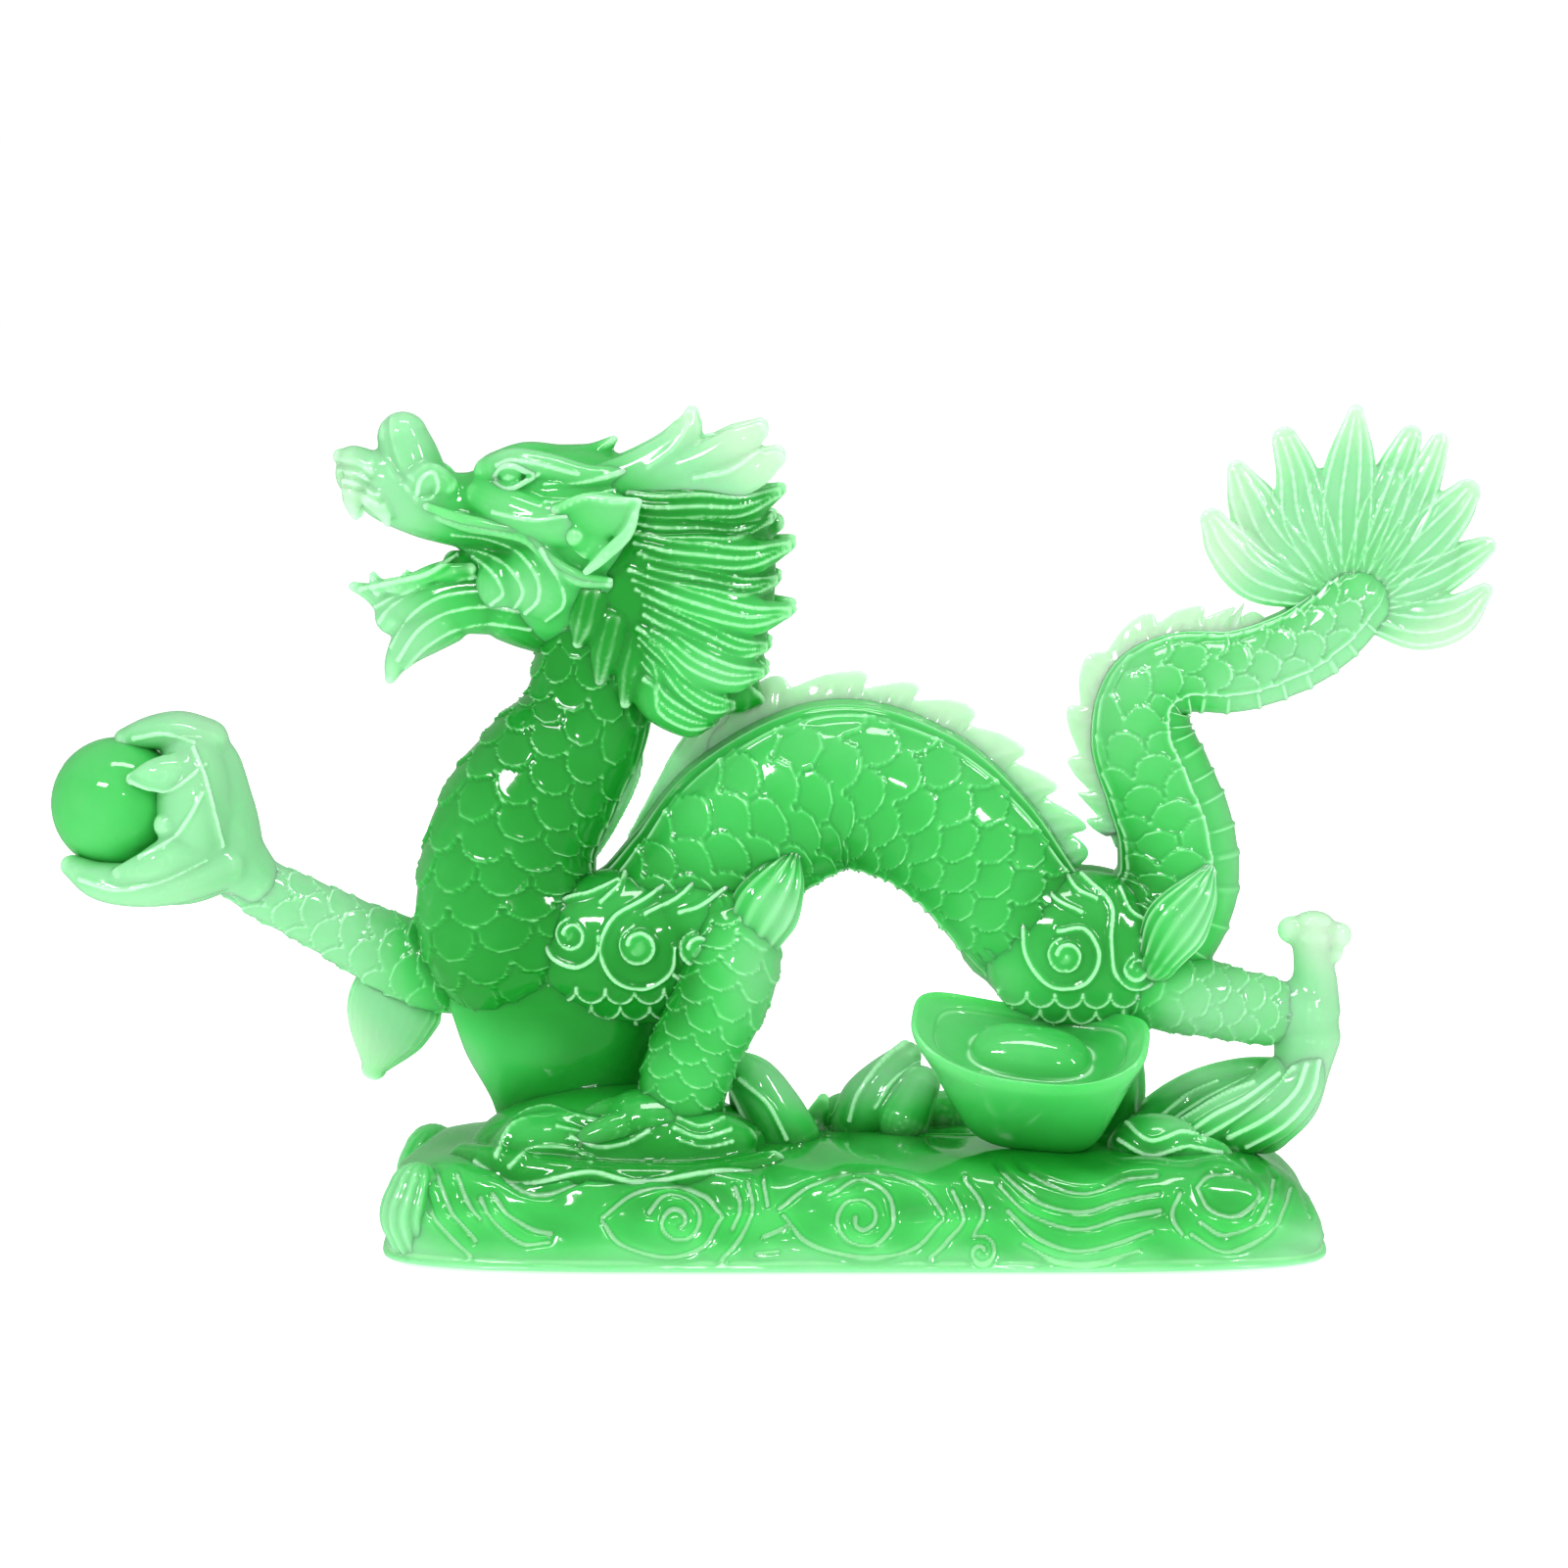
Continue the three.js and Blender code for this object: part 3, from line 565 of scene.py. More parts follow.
HOMES = {                                  # design centres of the main solids, millimetres
    "skull": (-36.81, 0, 84.51),
    "pearl": (-87.0, 0, 52.0),
    "near_shoulder": (-23.38, -9.17, 32.76),
    "back_arch": (-2.27, 0, 46.11),
    "near_haunch": (27.0, -8.77, 35.1),
    "tail_plume": (59.73, 0, 85.84),
    "hind_shank": (51.65, -2.0, 19.35),
    "mane_near": (-22.25, -3.15, 79.0),
    "chest_support": (-33.67, 1.11, 19.54),
    "cloud_base": (0, 0, 6.0),
}


def design_box(node):
    """Lowest corner, middle and size of a CAD solid, in design millimetres."""
    lo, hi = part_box(node)
    middle = [(a + b) / 2 / MM for a, b in zip(lo, hi)]
    return [a / MM for a in lo], middle, [(b - a) / MM for a, b in zip(lo, hi)]


def drift(nodes):
    """How far the frame has the first known solid of a piece from its design centre."""
    known = [node for node in nodes if node in HOMES]
    if not known:
        return np.zeros(3)
    return np.round(np.array(design_box(known[0])[1]) - HOMES[known[0]], 1)


def cast(name, shells, nodes, finish, voxel=None, relax=0, lines=(), sides=(NEAR, FAR)):
    """Makes one finished piece: joins its forms, fuses them into one skin if asked, softens it,
    raises its chased lines, stores how sharp and how deep it is, and hangs it on the frame."""
    vertices, quads, triangles = joined(shells)
    mesh = to_mesh(name, vertices, quads, triangles)
    if voxel:
        mesh = fused(mesh, voxel)
        mesh.name = name
    points, edges = points_of(mesh), edges_of(mesh)
    for _ in range(relax):
        points += 0.6 * (neighbour_mean(points, edges, len(points)) - points)
    put(mesh, points)
    for side in sides if lines else ():
        points = chased(points, normals_of(mesh), lines, side)
    put(mesh, points)
    store(mesh, "ridge", sharpness(points, normals_of(mesh), edges))
    store(mesh, "solid", solidity(points))
    mesh.polygons.foreach_set("use_smooth", np.ones(len(mesh.polygons), bool))
    put(mesh, (points + drift(nodes)) * MM)
    mesh.materials.append(FINISHES[finish])
    piece = bpy.data.objects.new(name, mesh)
    bpy.context.scene.collection.objects.link(piece)
    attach(piece, "root")
    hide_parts(*nodes)


def scale_end(row, angle, pitch, count, dip):
    """Where the scales of a row end at each angle: a round arc for each, half a scale on in odd rows."""
    place = angle / (2 * np.pi) * count + 0.5 * np.mod(row, 2)
    across = 2 * (place - np.floor(place)) - 1
    return (row + 1) * pitch - dip * pitch * (1 - np.sqrt(np.maximum(1 - across ** 2, 0)))


def scales(pitch, rise, count=10, dip=0.85, belly=0.0, spine=0.0):
    """Overlapping scales in staggered rows. Row k ends at (k + 1) * pitch, drawn back at the sides
    of each scale by a round arc, and a scale climbs from its root to its free edge. Within belly
    radians of the underside the rows turn into plain bands, and within spine radians of the top
    into a smooth strip with two lines along each edge."""
    def relief(spots, angle):
        row = np.floor(spots / pitch)
        first = scale_end(row, angle, pitch, count, dip)
        end = np.where(spots < first, first, scale_end(row + 1, angle, pitch, count, dip))
        climb = np.clip(1 - (end - spots) / (1.9 * pitch), 0, 1)
        lip = np.exp(-((end - spots) / 0.30) ** 2)
        skin = rise * (0.62 * climb ** 2 + 0.38 * lip)
        if belly:
            off = belly - np.abs(angle - np.pi)
            under = np.clip(off / 0.12, 0, 1)
            wave = np.mod(spots / (pitch * 0.95), 1.0)
            band = rise * (0.35 * wave ** 2 + 0.5 * np.exp(-((wave - 0.93) / 0.07) ** 2))
            skin = skin * (1 - under) + 0.7 * band * under + 0.8 * rise * np.exp(-(off / 0.05) ** 2)
        if spine:
            off = spine - np.minimum(angle, 2 * np.pi - angle)
            skin = skin * (1 - np.clip(off / 0.1, 0, 1))
            skin = skin + 0.8 * rise * (np.exp(-(off / 0.05) ** 2) + np.exp(-((off - 0.2) / 0.05) ** 2))
        return skin
    return relief


def flutes(count, depth, lead=0.0):
    """Grooves along a form: depth * |cos(count * angle / 2)|, deepest between the ribs."""
    def relief(spots, angle):
        return depth * (np.abs(np.cos(count * (angle + lead * spots) / 2)) - 0.6)
    return relief


# ---------------------------------------------------------------- body

def build_body():
    neck = [(-30, 0, 76, 6.6), (-30.6, 0, 68, 7), (-32, 0, 61.5, 7.6), (-35.6, 0, 56, 8.8),
            (-39.6, 0, 49.5, 9.7), (-41, 0, 43.5, 10.3), (-40.8, 0, 38.5, 10.9), (-40.0, 0, 34.6, 10.3),
            (-39.0, 0, 31, 8.6), (-38.0, 0, 28.4, 5.6), (-37.6, 0, 27.2, 2.6)]
    breast = limb([(-39, 0, 35, 8.2), (-33, 0, 34.2, 8.0), (-27, 0, 35, 8.6)], around=60)
    cast("scaled_neck", [limb(neck, around=150, step=0.28, relief=scales(pitch=3.3, rise=0.56, spine=0.4)),
                         breast],
         ["neck", "chest"], "jade_chest")
    arch = [(-29, 0, 34.5, 9), (-23.5, 0, 37.5, 9.4), (-18.5, 0, 42.5, 9.8), (-12.4, 0, 49.4, 10.2),
            (-2.5, 0, 54.3, 10.2), (6.7, 0, 52.2, 9.8), (13.7, 0, 46.8, 9.1), (20, 0, 39, 8.4),
            (25, 0, 35, 8)]
    cast("scaled_back", [limb(arch, around=150, step=0.28,
                              relief=scales(pitch=3.05, rise=0.58, belly=0.45, spine=0.62))],
         ["back_arch"], "jade_back")
    tail = [(19, 0, 37, 7), (24, 0, 34.2, 8), (29, 0, 34, 8.2), (34.5, 0, 36.4, 8), (38, 0, 42.1, 7.4),
            (37.9, 0, 48.5, 7), (35.9, 0, 54.3, 6.6), (33.8, 0, 60, 6.1), (34.6, 0, 65.2, 5.5),
            (38.6, 0, 67.6, 4.9), (45, 0, 67.8, 4.9), (51.5, 0, 70, 4.8), (56, 0, 73, 4.6),
            (59, 0, 76.2, 4.2)]
    cast("scaled_tail", [limb(tail, around=120, step=0.28,
                              relief=scales(pitch=2.9, count=8, rise=0.54, belly=1.1, spine=0.6))],
         ["rump", "tail"], "jade_back")


# ---------------------------------------------------------------- head

def build_head():
    core = [
        limb([(-24, 0, 80, 8), (-29, 0, 83.5, 9.2), (-34.5, 0, 85.6, 8.8), (-40, 0, 86.6, 6.9),
              (-45.5, 0, 86.6, 4.6), (-50.5, 0, 87.6, 4.2), (-55, 0, 89.6, 4.1),
              (-58, 0, 91, 3.0)], wide=0.98, around=40),
        limb([(-28, 0, 78, 8.2), (-33, 0, 77.0, 7.4), (-38.5, 0, 77.6, 6.2), (-42, 0, 79.6, 4.6)], around=36),
        limb([(-51.6, 0, 90.5, 3.8), (-52.4, 0, 93.2, 3.5), (-53, 0, 95.2, 3.05)], around=26),
        limb([(-57.4, 0, 91.2, 2.8), (-59.4, 0, 92.6, 1.9), (-60.4, 0, 93, 0.9)], wide=1.5),
        limb([(-41.8, 0, 91.0, 2.6), (-38.5, 0, 92.2, 2.5), (-34.5, 0, 92.2, 2.2), (-31, 0, 92.8, 1.8),
              (-28.2, 0, 95, 0.5)], wide=1.5),
        limb([(-29, 0, 91.3, 2.2), (-26, 0, 91.7, 1.7), (-23.2, 0, 94.3, 0.5)], wide=1.4),
    ]
    for side in (
        limb([(-42.6, -3.4, 91.2, 2.0), (-39.6, -5.0, 92.4, 1.8), (-35.6, -6.0, 92.0, 1.6),
              (-31, -6.4, 90.8, 1.5), (-27, -6.2, 91.2, 1.0)]),
        limb([(-43.2, -3.6, 88.4, 2.4), (-40.0, -5.6, 87.0, 2.8), (-36, -7.0, 85.6, 2.8),
              (-31.5, -7.8, 85.0, 2.6)]),
        ball(-35.4, -4.6, 79.0, 5.4, (1.1, 0.75, 1)),
        ball(-40.2, -3.8, 78.2, 3.8, (1.1, 0.75, 1)),
        limb([(-58.6, -2.4, 90.2, 1.6), (-58.7, -2.6, 87.8, 1.2), (-58.4, -2.4, 85.9, 0.5)]),
        limb([(-56.4, -3.6, 88.2, 1.3), (-55.0, -3.7, 86.4, 0.9), (-54.6, -3.4, 85.0, 0.35)]),
        limb([(-51.5, -3.0, 89.8, 1.8), (-49.5, -3.4, 90.8, 1.7), (-47.6, -3.2, 89.6, 1.4)]),
        limb([(-48.5, -3.6, 86.2, 0.9), (-45.2, -4.9, 85.3, 1.0), (-41.5, -6.6, 84.8, 1.0),
              (-37.8, -7.9, 83.8, 1.0), (-35.0, -8.4, 81.0, 1.0), (-32.2, -8.4, 79.2, 1.0),
              (-28.6, -8.4, 78.6, 0.6)]),
    ):
        core += both(side)
    lines = [
        ([(-41.6, 92.2), (-39.8, 92.8), (-36.5, 92.3), (-32.2, 91.2)], 0.28, 0.3),
        ([(-41.8, 90.6), (-40.2, 89.7), (-38.2, 90.2), (-36.8, 91.2)], 0.26, 0.3),
        ([(-36, 90.0), (-31, 90.4), (-26.5, 91.6), (-22.5, 92.6)], 0.3, 0.35),
        ([(-36, 88.0), (-32, 88.2), (-28, 89.4)], 0.24, 0.3),
        ([(-42, 86.8), (-37.5, 86.0), (-33.5, 86.4)], 0.24, 0.3),
        ([(-46.4, 82.2), (-43.5, 81.8), (-40.2, 80.2), (-38.6, 77.6), (-40.2, 75.2), (-43, 74.6)],
         0.26, 0.32),
        ([(-44.6, 81.4), (-42.2, 79.6), (-41.0, 77.4), (-42.4, 76.0)], 0.26, 0.3),
        ([(-47, 84.0), (-43.0, 83.6), (-39.4, 82.2), (-37.0, 79.4), (-36.8, 76.8), (-38.4, 75)], 0.26, 0.32),
        ([(-36.4, 82.6), (-34.2, 78.6), (-34.0, 76.0), (-36.0, 74.2)], 0.26, 0.32),
        ([(-51.2, 88.0), (-50.6, 90.4), (-49.2, 91.2), (-48.6, 89.6), (-49.6, 88.2), (-51.4, 88.4)],
         0.3, 0.3),
        ([(-55.0, 97.4), (-54.6, 94.4), (-53.4, 91.4), (-51.6, 89.6)], -0.3, 0.45),
        ([(-60.6, 92.0), (-58.4, 91.8), (-56.4, 90.6)], -0.35, 0.35),
        ([(-60.0, 90.8), (-58.0, 90.4), (-56.0, 89.2)], -0.35, 0.35),
        ([(-59.6, 89.6), (-57.4, 89.0), (-55.2, 88.0)], -0.3, 0.35),
    ]
    cast("head", core, ["skull", "snout", "head_crown"], "jade_head", voxel=0.28, relax=3, lines=lines)

    jaw = [
        limb([(-36, 0, 76.6, 5.2), (-42, 0, 76.6, 4.7), (-47, 0, 76.2, 4.1), (-51, 0, 75.8, 3.3),
              (-54.2, 0, 75.8, 2.3), (-57, 0, 77.0, 1.1), (-59, 0, 77.7, 0.6)], around=34),
        limb([(-42, 0, 79, 4.0), (-45.4, 0, 80, 3.0), (-47, 0, 80.6, 1.4)], wide=1.15),
        limb([(-48.4, 0, 74, 3.4), (-51.8, 0, 71.4, 2.6), (-53.8, 0, 69.0, 1.6), (-54.7, 0, 66.8, 0.7)],
             wide=1.1),
        limb([(-40, 0, 75, 4.2), (-36.6, 0, 72.6, 3.2), (-34, 0, 69.6, 1.4)], wide=1.4),
        ball(-54.2, 0, 74.2, 2.3),
    ]
    for side in (
        limb([(-45, -3.8, 79.8, 1.0), (-49.4, -3.6, 79.4, 0.9), (-53.4, -2.8, 77.8, 0.8),
              (-56.6, -1.4, 78.0, 0.5)]),
        limb([(-56.0, -1.8, 77.4, 0.8), (-56.8, -1.8, 79.2, 0.35)], around=12),
        limb([(-52.4, -2.6, 77.6, 0.8), (-52.8, -2.6, 79.4, 0.3)], around=12),
    ):
        jaw += both(side)
    jaw_lines = [
        ([(-54.4, 70.6), (-52.2, 74.2), (-48.6, 76.6), (-43.4, 77.4), (-38, 77.2)], 0.26, 0.3),
        ([(-53.6, 69.2), (-51.2, 72.6), (-47.8, 74.8), (-43, 75.6), (-37, 74.8)], 0.26, 0.3),
        ([(-52.8, 68.2), (-50.2, 70.8), (-46.8, 72.8), (-42.5, 73.6), (-38, 73)], 0.26, 0.3),
        ([(-56.2, 75.4), (-52.6, 77.2), (-48, 78.4), (-43.4, 79.2)], 0.26, 0.3),
        ([(-58, 77.4), (-54.6, 78.2), (-50, 79.4), (-46.6, 81.4)], 0.3, 0.3),
        ([(-55.8, 73.6), (-54.4, 75.4), (-51, 77.8)], 0.22, 0.3),
    ]
    cast("lower_jaw_skin", jaw, ["lower_jaw", "beard"], "jade_jaw", voxel=0.26, relax=3, lines=jaw_lines)
    cast("tongue_skin", [limb([(-45, 0, 78.8, 1.5), (-49, 0, 78.2, 1.4), (-53, 0, 77.4, 1.1),
                               (-55.4, 0, 77.6, 0.6)],
                              wide=1.7, relief=flutes(2, -0.25))], ["tongue"], "jade_body")

    for side, name in ((NEAR, "near"), (FAR, "far")):
        eye = [ball(-39.9, -5.8, 90.9, 1.35),
               limb([(-42.4, -5.0, 90.5, 0.35), (-40.4, -6.7, 92.1, 0.5), (-37.4, -7.0, 91.2, 0.35)],
                    around=14, step=0.3),
               limb([(-42.4, -5.0, 90.4, 0.35), (-40.2, -6.9, 89.5, 0.4), (-37.4, -7.0, 90.8, 0.35)],
                    around=14, step=0.3)]
        cast(f"eye_{name}_skin", [on_side(form, side) for form in eye], [f"eye_{name}"], "jade_limb",
             voxel=0.2, relax=2)
        ear = [limb([(-34.4, -8.8, 86.6, 1.6), (-30.8, -9.6, 86.4, 2.9), (-27.6, -10.2, 87.0, 2.3),
                     (-25.0, -10.6, 88.2, 0.5)], wide=0.42, around=30, step=0.3),
               limb([(-34.6, -9.0, 87.0, 0.9), (-31.2, -10.0, 88.4, 0.8), (-28, -10.8, 88.2, 0.7),
                     (-25, -10.9, 88.3, 0.4)], around=12, step=0.3),
               limb([(-25.2, -10.8, 88.0, 0.5), (-26.4, -11, 84.6, 0.8), (-29.2, -10.8, 81.8, 0.8),
                     (-31.2, -9.8, 80, 0.5)], around=12, step=0.3),
               limb([(-33.4, -8.8, 85, 1.4), (-30.4, -9.6, 83.4, 2.2), (-29, -9.8, 82.4, 1.2)], wide=0.5),
               ball(-32.2, -9.4, 84.2, 1.5)]
        cast(f"ear_{name}_skin", [on_side(form, side) for form in ear], [f"ear_{name}"], "jade_body",
             voxel=0.22, relax=5)
        whisker = limb([(-50, -4.0, 87.3, 0.5), (-46.4, -5.4, 86.1, 0.6), (-42.4, -6.9, 85.3, 0.6),
                        (-38.2, -8.2, 84.3, 0.6), (-35.2, -8.9, 81.4, 0.6), (-32, -9.0, 79.6, 0.55),
                        (-28.4, -9.2, 79.0, 0.3)], around=14, step=0.4)
        cast(f"whisker_{name}_skin", [on_side(whisker, side)], [f"whisker_{name}"], "jade_body")
        horn = [
            limb([(-31, -4.6, 88.5, 3.2), (-25.5, -5.6, 90.6, 3.2), (-21.6, -6.0, 93.4, 2.6),
                  (-19.6, -6.0, 96.2, 1.8), (-19.2, -6.0, 98.0, 0.9)], wide=0.6, around=26),
            limb([(-25, -5.6, 90.4, 3), (-20.5, -6.2, 92, 2.6), (-17.6, -6.2, 94.0, 1.3),
                  (-17.0, -6.2, 95, 0.7)], wide=0.6),
            limb([(-25, -5.8, 89.4, 3), (-18.5, -6.6, 91.8, 2.6), (-13.6, -6.8, 94.6, 2.2),
                  (-11.2, -6.8, 96.2, 1.2)],
                 wide=0.6, around=26),
            limb([(-25, -5.8, 88.4, 3), (-18, -6.8, 89.6, 2.8), (-12.2, -7.2, 91.4, 2.2),
                  (-9.2, -7.2, 93, 1.2)],
                 wide=0.6, around=26),
        ]
        horn_lines = [([(-18.6, 90.8), (-14.6, 91.6), (-10.4, 94.4)], 0.35, 0.35),
                      ([(-24, 92), (-21, 94.4), (-19.4, 97)], 0.2, 0.5)]
        cast(f"horn_{name}_skin", [on_side(form, side) for form in horn], [f"horn_{name}"], "jade_thin",
             voxel=0.3, relax=2,
             lines=horn_lines, sides=(side,))
        locks, strands = mane_locks()
        cast(f"mane_{name}_skin", [on_side(form, side) for form in locks], [f"mane_{name}"], "jade_hair",
             voxel=0.27, relax=2, lines=strands, sides=(side,))


def mane_locks():
    """The near half of the mane: a solid mass, locks that sweep back to their own tips, and the
    fine strand lines that run along each lock."""
    tips = [
        ((-8.6, 88.6), (-18, 88.4), 2.3), ((-9.6, 85.6), (-18, 85.8), 2.1),
        ((-7.4, 82.4), (-17.6, 82.8), 2.3),
        ((-9.0, 78.4), (-17, 79.8), 2.1), ((-7.4, 74.8), (-17, 76.8), 2.4),
        ((-10.2, 70.6), (-17.4, 73.6), 2.3),
        ((-10.6, 67.6), (-18.6, 70.6), 2.5), ((-14.0, 63.8), (-20.0, 67.6), 2.4),
        ((-16.4, 61.8), (-22.6, 65.6), 2.4),
    ]
    locks = [ball(-22, -3.0, 79.5, 10.4, (1.0, 0.66, 1.0), around=60),
             ball(-21.5, -3.0, 72.5, 8.2, (1.0, 0.72, 1.05), around=50),
             limb([(-14.6, -2.0, 88.0, 2.6), (-14.0, -2.6, 83.0, 4.4), (-13.8, -2.6, 77.0, 4.4),
                   (-15.2, -2.6, 71.0, 4.2), (-18.4, -2.6, 66.6, 3.6)], around=40)]
    strands = []
    for i, ((tip_x, tip_z), (mid_x, mid_z), radius) in enumerate(tips):
        root_x, root_z = -29.5 + 0.5 * i, 88.4 - 2.1 * i
        out = -5.8 - 1.6 * math.sin(math.pi * i / 8)
        rise = 0.45 if i % 2 else -0.45
        bend_x, bend_z = (root_x + mid_x) / 2, (root_z + mid_z) / 2 - 1.0
        locks.append(limb([
            (root_x, out + 2.2, root_z, radius), (bend_x, out, bend_z, radius * 1.15),
            (mid_x, out - 0.2 + rise, mid_z - 0.8, radius * 1.15),
            ((mid_x + tip_x) / 2, out + 0.8 + rise, (mid_z + tip_z) / 2 - 1.0, radius),
            (0.3 * mid_x + 0.7 * tip_x, out + 1.6 + rise, 0.3 * mid_z + 0.7 * tip_z - 0.6, radius * 0.75),
            (tip_x, out + 2.6 + rise, tip_z + 0.6, radius * 0.28),
        ], around=40, step=0.4))
        for k, lift in enumerate((-1.2, 0.0, 1.2)):
            begin = 0.35 + 0.2 * ((i + 2 * k) % 3)
            strands.append(([(root_x + begin * (bend_x - root_x), root_z + begin * (bend_z - root_z) + lift),
                             (bend_x + 0.8, bend_z + lift), (mid_x, mid_z - 0.8 + lift),
                             ((mid_x + tip_x) / 2, (mid_z + tip_z) / 2 - 1.0 + 0.8 * lift),
                             (tip_x - 0.4, tip_z + 0.3 + 0.2 * lift)], 0.33, 0.44))
    for x, z, drop in ((-31.5, 74.5, 3.0), (-29, 71.5, 4.6), (-26, 69.5, 5.0)):
        locks.append(limb([(x + 1.0, -6.4, z + 2.5, 2.2), (x, -6.8, z - 1, 2.0),
                           (x - 0.8, -6.8, z - drop, 0.7)],
                          around=24))
        strands += [([(x + 1.0 + lift, z + 3), (x + lift, z - 1), (x - 0.8 + 0.4 * lift, z - drop)],
                     0.05, 0.32)
                    for lift in (-0.8, 0.5)]
    for i in range(6):
        z = 86 - 3.8 * i
        locks.append(limb([(-26, -1.6, z, 3.2), (-18, -1.8, z - 1.0, 3.4), (-12.4, -1.4, z - 1.6, 2.4),
                           (-9.4 - 0.8 * i, -1.2, z - 0.8, 1.2)], around=30))
    return locks, strands


# ---------------------------------------------------------------- pearl, arms and legs

def build_pearl_arm():
    _, middle, size = design_box("pearl")
    cast("pearl_skin", [ball(*middle, size[0] / 2 * 1.05, around=120)], ["pearl"], "jade_pearl")
    arm = [(-44, 4, 31.5, 5.4), (-50, 4.4, 32, 5.2), (-54.6, 4.4, 33.4, 4.7), (-59.4, 4, 35.8, 4.1),
           (-64, 3.4, 38.3, 3.7), (-69.6, 2.2, 41.3, 3.4), (-73, 1.4, 43.6, 3.1)]
    cast("raised_arm", [limb(arm, around=72, step=0.25, relief=scales(pitch=2.7, count=5, rise=0.42))],
         ["far_upper_arm", "far_forearm"], "jade_body")
    hand = [
        ball(-77.8, -0.4, 51.8, 8.7, (0.60, 0.98, 1.07), around=60),
        limb([(-71, 1.6, 42.8, 3.2), (-74.0, 1.0, 46.2, 4.4), (-75.4, 0.6, 51.2, 4.6),
              (-76.0, 0.6, 56.4, 3.6), (-77.4, 0.6, 59.8, 2.3)], wide=1.25, around=30),
        limb([(-76.4, 0.6, 59.4, 2.6), (-79.6, 0.0, 60.6, 2.4), (-83, -0.2, 60.4, 2.0),
              (-86.0, -0.4, 59.6, 1.4)],
             wide=1.7),
        limb([(-77, -3.0, 56.0, 2.8), (-79.8, -6.0, 56.2, 2.4), (-82.2, -6.9, 56.0, 1.9),
              (-84.4, -6.9, 55.6, 0.9)]),
        limb([(-76, -3.4, 51.5, 3.2), (-78.2, -5.8, 51.0, 2.6), (-80.4, -6.8, 50.2, 1.7)]),
        limb([(-76, -3.4, 47.5, 3.0), (-79.4, -6.4, 46.8, 2.5), (-82.4, -7.6, 45.4, 2.1),
              (-85.8, -7.8, 44.4, 1.2)]),
        limb([(-75, -1.6, 45.0, 3.2), (-79.4, -4.2, 43.6, 3.0), (-84, -5.2, 43.0, 2.7),
              (-88.6, -4.8, 43.4, 2.3), (-92.0, -3.6, 45.0, 1.4)], wide=1.4),
        limb([(-74.6, 1.4, 44.4, 3.0), (-79, 1.8, 42.6, 2.8), (-84, 2.0, 42.2, 2.4), (-88.6, 1.8, 42.6, 2.0),
              (-91.8, 1.6, 44.2, 1.1)], wide=1.9),
        limb([(-76, 2, 50, 3.0), (-78.5, 6.0, 51, 2.5), (-82, 8.2, 52.6, 2.0), (-86, 8.6, 54.2, 0.9)]),
    ]
    hand_lines = [([(-74.2, 47.6), (-75.0, 52), (-76, 56), (-77.4, 59)], 0.5, 0.3),
                  ([(-76.0, 57.2), (-79.4, 54.6), (-82, 54.6), (-84.4, 55.4)], 0.35, 0.3),
                  ([(-76.2, 54.0), (-77.8, 51.0), (-79.8, 48.6), (-83.4, 46.6)], 0.35, 0.3),
                  ([(-77.4, 59.6), (-81, 60.6), (-84.6, 60.0)], 0.3, 0.3),
                  ([(-76, 46), (-81, 43.8), (-86, 42.8), (-90.6, 43.8)], 0.3, 0.3)]
    cast("raised_hand", hand, ["far_hand"], "jade_body", voxel=0.27, relax=7, lines=hand_lines)
    tuft = limb([(-52.4, 5, 31, 4.4), (-54.6, 5, 27.6, 5.7), (-56, 5, 23.6, 4.6), (-57.4, 5, 19.6, 1.5)],
                wide=0.32, around=70, step=0.3, relief=flutes(25, 0.2))
    cast("raised_arm_tuft", [tuft], ["far_elbow_tuft"], "jade_limb")


def swirl(x, z, radius, turns=1.15, start=0.3, grip=0.55, sense=1):
    """Points of a spiral from its rim inwards: the radius shrinks evenly with the angle."""
    t = np.linspace(0, 1, 14)
    angle = 2 * np.pi * (start + sense * turns * t)
    reach = radius * (1 - (1 - grip) * t)
    return [(x + r * math.cos(a), z + r * math.sin(a)) for r, a in zip(reach, angle)]


def scale_arcs(left, right, top, bottom, width):
    """Rows of hanging half circles in brick order, as chased lines."""
    turn = np.linspace(0, np.pi, 7)
    rows = int((top - bottom) / (0.62 * width)) + 1
    arcs = []
    for row in range(rows):
        middles = np.arange(left + 0.5 * width * (row % 2), right, width)
        z = top - 0.62 * width * row
        arcs += [([(middle - 0.5 * width * math.cos(a), z - 0.5 * width * math.sin(a)) for a in turn],
                  0.34, 0.28)
                 for middle in middles]
    return arcs


